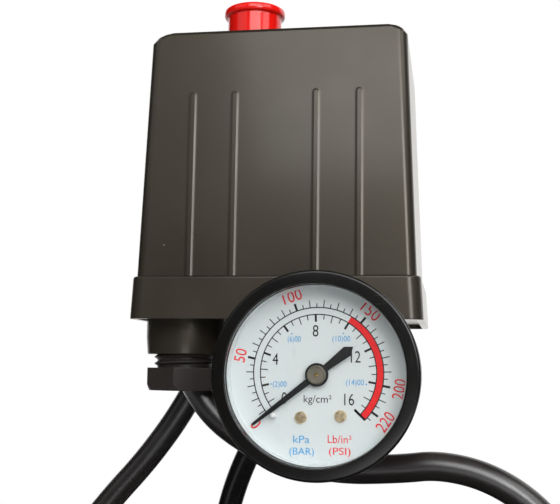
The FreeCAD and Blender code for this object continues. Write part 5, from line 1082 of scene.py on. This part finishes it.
def set_room_light(scene):
    """White background for the camera and in gloss, and plain weaker light on the surfaces."""
    scene.world = bpy.data.worlds.new("room")
    scene.world.use_nodes = True
    tree = scene.world.node_tree
    path = node(tree, "ShaderNodeLightPath").outputs
    seen = calc(tree, "MAXIMUM", path["Is Camera Ray"],
                calc(tree, "MAXIMUM", path["Is Glossy Ray"], path["Is Transmission Ray"]))
    background = tree.nodes["Background"]
    background.inputs["Color"].default_value = (1.0, 1.0, 1.0, 1.0)
    tree.links.new(spread(tree, seen, 0.0, 1.0, scene.switch_stage.sky, 1.0), background.inputs["Strength"])


def hang_lamp(name, power, azimuth, rise, away, wide, tall):
    """Area lamp that looks at the switch from an angle off the front, a rise and a distance."""
    lamp = bpy.data.lights.new(name, "AREA")
    lamp.shape = "RECTANGLE"
    lamp.size, lamp.size_y = wide, tall
    lamp.energy = power
    holder = bpy.data.objects.new(name, lamp)
    bpy.context.scene.collection.objects.link(holder)
    azimuth, rise = math.radians(azimuth), math.radians(rise)
    level = math.cos(rise)
    towards = Vector((math.sin(azimuth) * level, -math.cos(azimuth) * level, math.sin(rise)))
    holder.location = Vector(AIM) + towards * away
    holder.rotation_euler = (-towards).to_track_quat("-Z", "Y").to_euler()
    holder.visible_glossy = name not in NOT_IN_GLOSS
    holder.visible_transmission = False


def set_camera(scene):
    camera = bpy.data.cameras.new("camera")
    camera.sensor_width = SENSOR
    camera.lens = scene.switch_stage.lens
    camera.clip_start = 0.01
    eye = bpy.data.objects.new("camera", camera)
    scene.collection.objects.link(eye)
    right, up = Vector(CAMERA_RIGHT), Vector(CAMERA_UP)
    facing = Matrix((right, up, right.cross(up))).transposed().to_4x4()
    eye.matrix_world = Matrix.Translation(CAMERA_PLACE) @ facing
    scene.camera = eye


# Operators, one for each group of pieces and one for the stage

class BuildStep:
    """One building step, which reads its sizes and colours from the scene"""

    def execute(self, context):
        self.build(context.scene)
        return {"FINISHED"}


class SWITCH_OT_finishes(BuildStep, bpy.types.Operator):
    """Builds the effect groups and every material of the part"""
    bl_idname = "pressure_switch.finishes"
    bl_label = "Finishes"

    def build(self, scene):
        make_grain_group()
        make_edge_group()
        make_dust_group()
        make_scuff_group()
        make_case_materials(scene.switch_case)
        make_metals()
        make_gauge_materials(scene.switch_gauge)
        make_cord_materials(scene.switch_cords)


class SWITCH_OT_case(BuildStep, bpy.types.Operator):
    """Moulds the cover with its ridges and the base with its gland bosses"""
    bl_idname = "pressure_switch.case"
    bl_label = "Cover and base"

    def build(self, scene):
        dress("zinc_plate", "cover_screw")
        build_cover()
        build_base()


class SWITCH_OT_glands(BuildStep, bpy.types.Operator):
    """Turns the gland nuts to where they are tightened and cuts their visible thread"""
    bl_idname = "pressure_switch.glands"
    bl_label = "Gland nuts"

    def build(self, scene):
        dress("black_rubber", "gland_bushing_front", "gland_bushing_rear")
        for end, y in (("front", -GLAND_Y), ("rear", GLAND_Y)):
            build_gland(end, y, scene.switch_case.thread_pitch / MM)


class SWITCH_OT_knob(BuildStep, bpy.types.Operator):
    """Turns the glossy push-pull knob"""
    bl_idname = "pressure_switch.knob"
    bl_label = "Knob"

    def build(self, scene):
        dress("zinc_plate", "knob_stem")
        build_knob()


class SWITCH_OT_inside(BuildStep, bpy.types.Operator):
    """Dresses the manifold and the mechanism inside the case, and finishes a copy of the range spring"""
    bl_idname = "pressure_switch.inside"
    bl_label = "Manifold and mechanism"

    def build(self, scene):
        dress("cast_enamel", "port_manifold")
        dress("zinc_plate", "port_plugs", "clamp_screws", "support_frame", "lever_pin", "lever",
              "spring_adjuster", "adjusting_screw", "cover_standoff")
        dress("black_rubber", "diaphragm", "lens_gasket")
        dress("turned_aluminium", "piston")
        dress("phenolic_moulding", "terminal_block", "contact_carrier")
        dress("machined_brass", "fixed_contacts", "moving_contacts", "terminal_screws", "unloader_valve",
              "valve_pin", "valve_nut", "pointer_arbor", "sector_gear", "movement_frame", "movement_link",
              "gauge_socket")
        dress("bronze_tube_metal", "bourdon_tube")
        build_range_spring()


class SWITCH_OT_gauge(BuildStep, bpy.types.Operator):
    """Turns the gauge's bezel and its dial with the upturned rim, and sets the stop pin"""
    bl_idname = "pressure_switch.gauge"
    bl_label = "Gauge case and dial"

    def build(self, scene):
        dress("gauge_rim_plastic", "gauge_case")
        dress("gauge_glass", "gauge_lens")
        turned_gauge_piece(BEZEL_OUTLINE, 192, BEZEL_FRONT, "bezel_ring", "gauge_rim_plastic", "gauge_black",
                           stands_for=("gauge_bezel",), sharp=40.0)
        turned_gauge_piece(DIAL_OUTLINE, 160, DIAL_FACE, "dial_plate", "dial_enamel", "dial",
                           stands_for=("gauge_dial",), sharp=50.0)
        turned_gauge_piece(STOP_PIN_OUTLINE, 40, DIAL_FACE, "stop_pin_domed", "pin_nylon", "pin_metal",
                           at=STOP_PIN, stands_for=("stop_pin",))


class SWITCH_OT_dial_print(BuildStep, bpy.types.Operator):
    """Prints the scales, figures and units on the dial"""
    bl_idname = "pressure_switch.dial_print"
    bl_label = "Dial print"

    def build(self, scene):
        build_dial_print(scene.switch_gauge)


class SWITCH_OT_pointer(BuildStep, bpy.types.Operator):
    """Cuts the pointer, turns its cap and sets the dial's cross-slotted screws"""
    bl_idname = "pressure_switch.pointer"
    bl_label = "Pointer and dial screws"

    def build(self, scene):
        build_pointer()
        turned_gauge_piece(HUB_CAP_OUTLINE, 96, POINTER_FRONT, "pointer_hub_cap", "pointer_cap_metal",
                           "pin_metal", stands_for=("pointer_cap",), body="pointer_body")
        turned_gauge_piece(ARBOR_OUTLINE, 40, POINTER_FRONT, "arbor_tip", "machined_brass", "brass_part",
                           body="pointer_body")
        build_dial_screws()


class SWITCH_OT_leads(BuildStep, bpy.types.Operator):
    """Lays the motor lead, the mains lead with its coil and plug, and the unloader tube"""
    bl_idname = "pressure_switch.leads"
    bl_label = "Leads and tube"

    def build(self, scene):
        sizes = scene.switch_cords
        dress("tinned_copper", "motor_ferrules")
        dress("lead_sheath", "plug_body")
        dress("machined_brass", "plug_pins", "tube_end_nut", "tube_olive")
        dress("tie_nylon", "coil_tie")
        lay_motor_lead(sizes.lead_diameter)
        lay_mains_lead(sizes.lead_diameter)
        lay_unloader_tube(sizes.tube_diameter)


class SWITCH_OT_stage(BuildStep, bpy.types.Operator):
    """Sets the floor, the lamps, the room light and the camera"""
    bl_idname = "pressure_switch.stage"
    bl_label = "Stage"

    def build(self, scene):
        look = scene.switch_stage
        scene.view_settings.view_transform = "Standard"
        floor_level = CAD_BOX[0][2] - FLOOR_BELOW
        build_floor(look.floor_colour, floor_level)
        set_room_light(scene)
        build_dark_card(look.card_colour, floor_level)
        for name, power, *place in LAMPS:
            hang_lamp(name, getattr(look, power), *place)
        set_camera(scene)


OPERATORS = (SWITCH_OT_finishes, SWITCH_OT_case, SWITCH_OT_glands, SWITCH_OT_knob, SWITCH_OT_inside,
             SWITCH_OT_gauge, SWITCH_OT_dial_print, SWITCH_OT_pointer, SWITCH_OT_leads, SWITCH_OT_stage)
SETTINGS = {"switch_case": CaseSettings, "switch_gauge": GaugeSettings, "switch_cords": CordSettings,
            "switch_stage": StageSettings}


class SWITCH_PT_sidebar(bpy.types.Panel):
    """Lists the steps that build the part and what can be changed"""
    bl_idname = "SWITCH_PT_sidebar"
    bl_label = "Pressure Switch"
    bl_space_type = "VIEW_3D"
    bl_region_type = "UI"
    bl_category = "Pressure Switch"

    def draw(self, context):
        for key in SETTINGS:
            group = getattr(context.scene, key)
            box = self.layout.box()
            for name in group.bl_rna.properties.keys():
                if name not in ("rna_type", "name"):
                    box.prop(group, name)
        for operator in OPERATORS:
            self.layout.operator(operator.bl_idname)


def register():
    for cls in (*SETTINGS.values(), *OPERATORS, SWITCH_PT_sidebar):
        bpy.utils.register_class(cls)
    for key, cls in SETTINGS.items():
        setattr(bpy.types.Scene, key, PointerProperty(type=cls))


def unregister():
    for key in SETTINGS:
        delattr(bpy.types.Scene, key)
    for cls in reversed((*SETTINGS.values(), *OPERATORS, SWITCH_PT_sidebar)):
        bpy.utils.unregister_class(cls)


def main():
    register()
    for operator in OPERATORS:
        group, name = operator.bl_idname.split(".")
        getattr(getattr(bpy.ops, group), name)()
    bpy.context.view_layer.update()


if __name__ == "__main__":
    main()
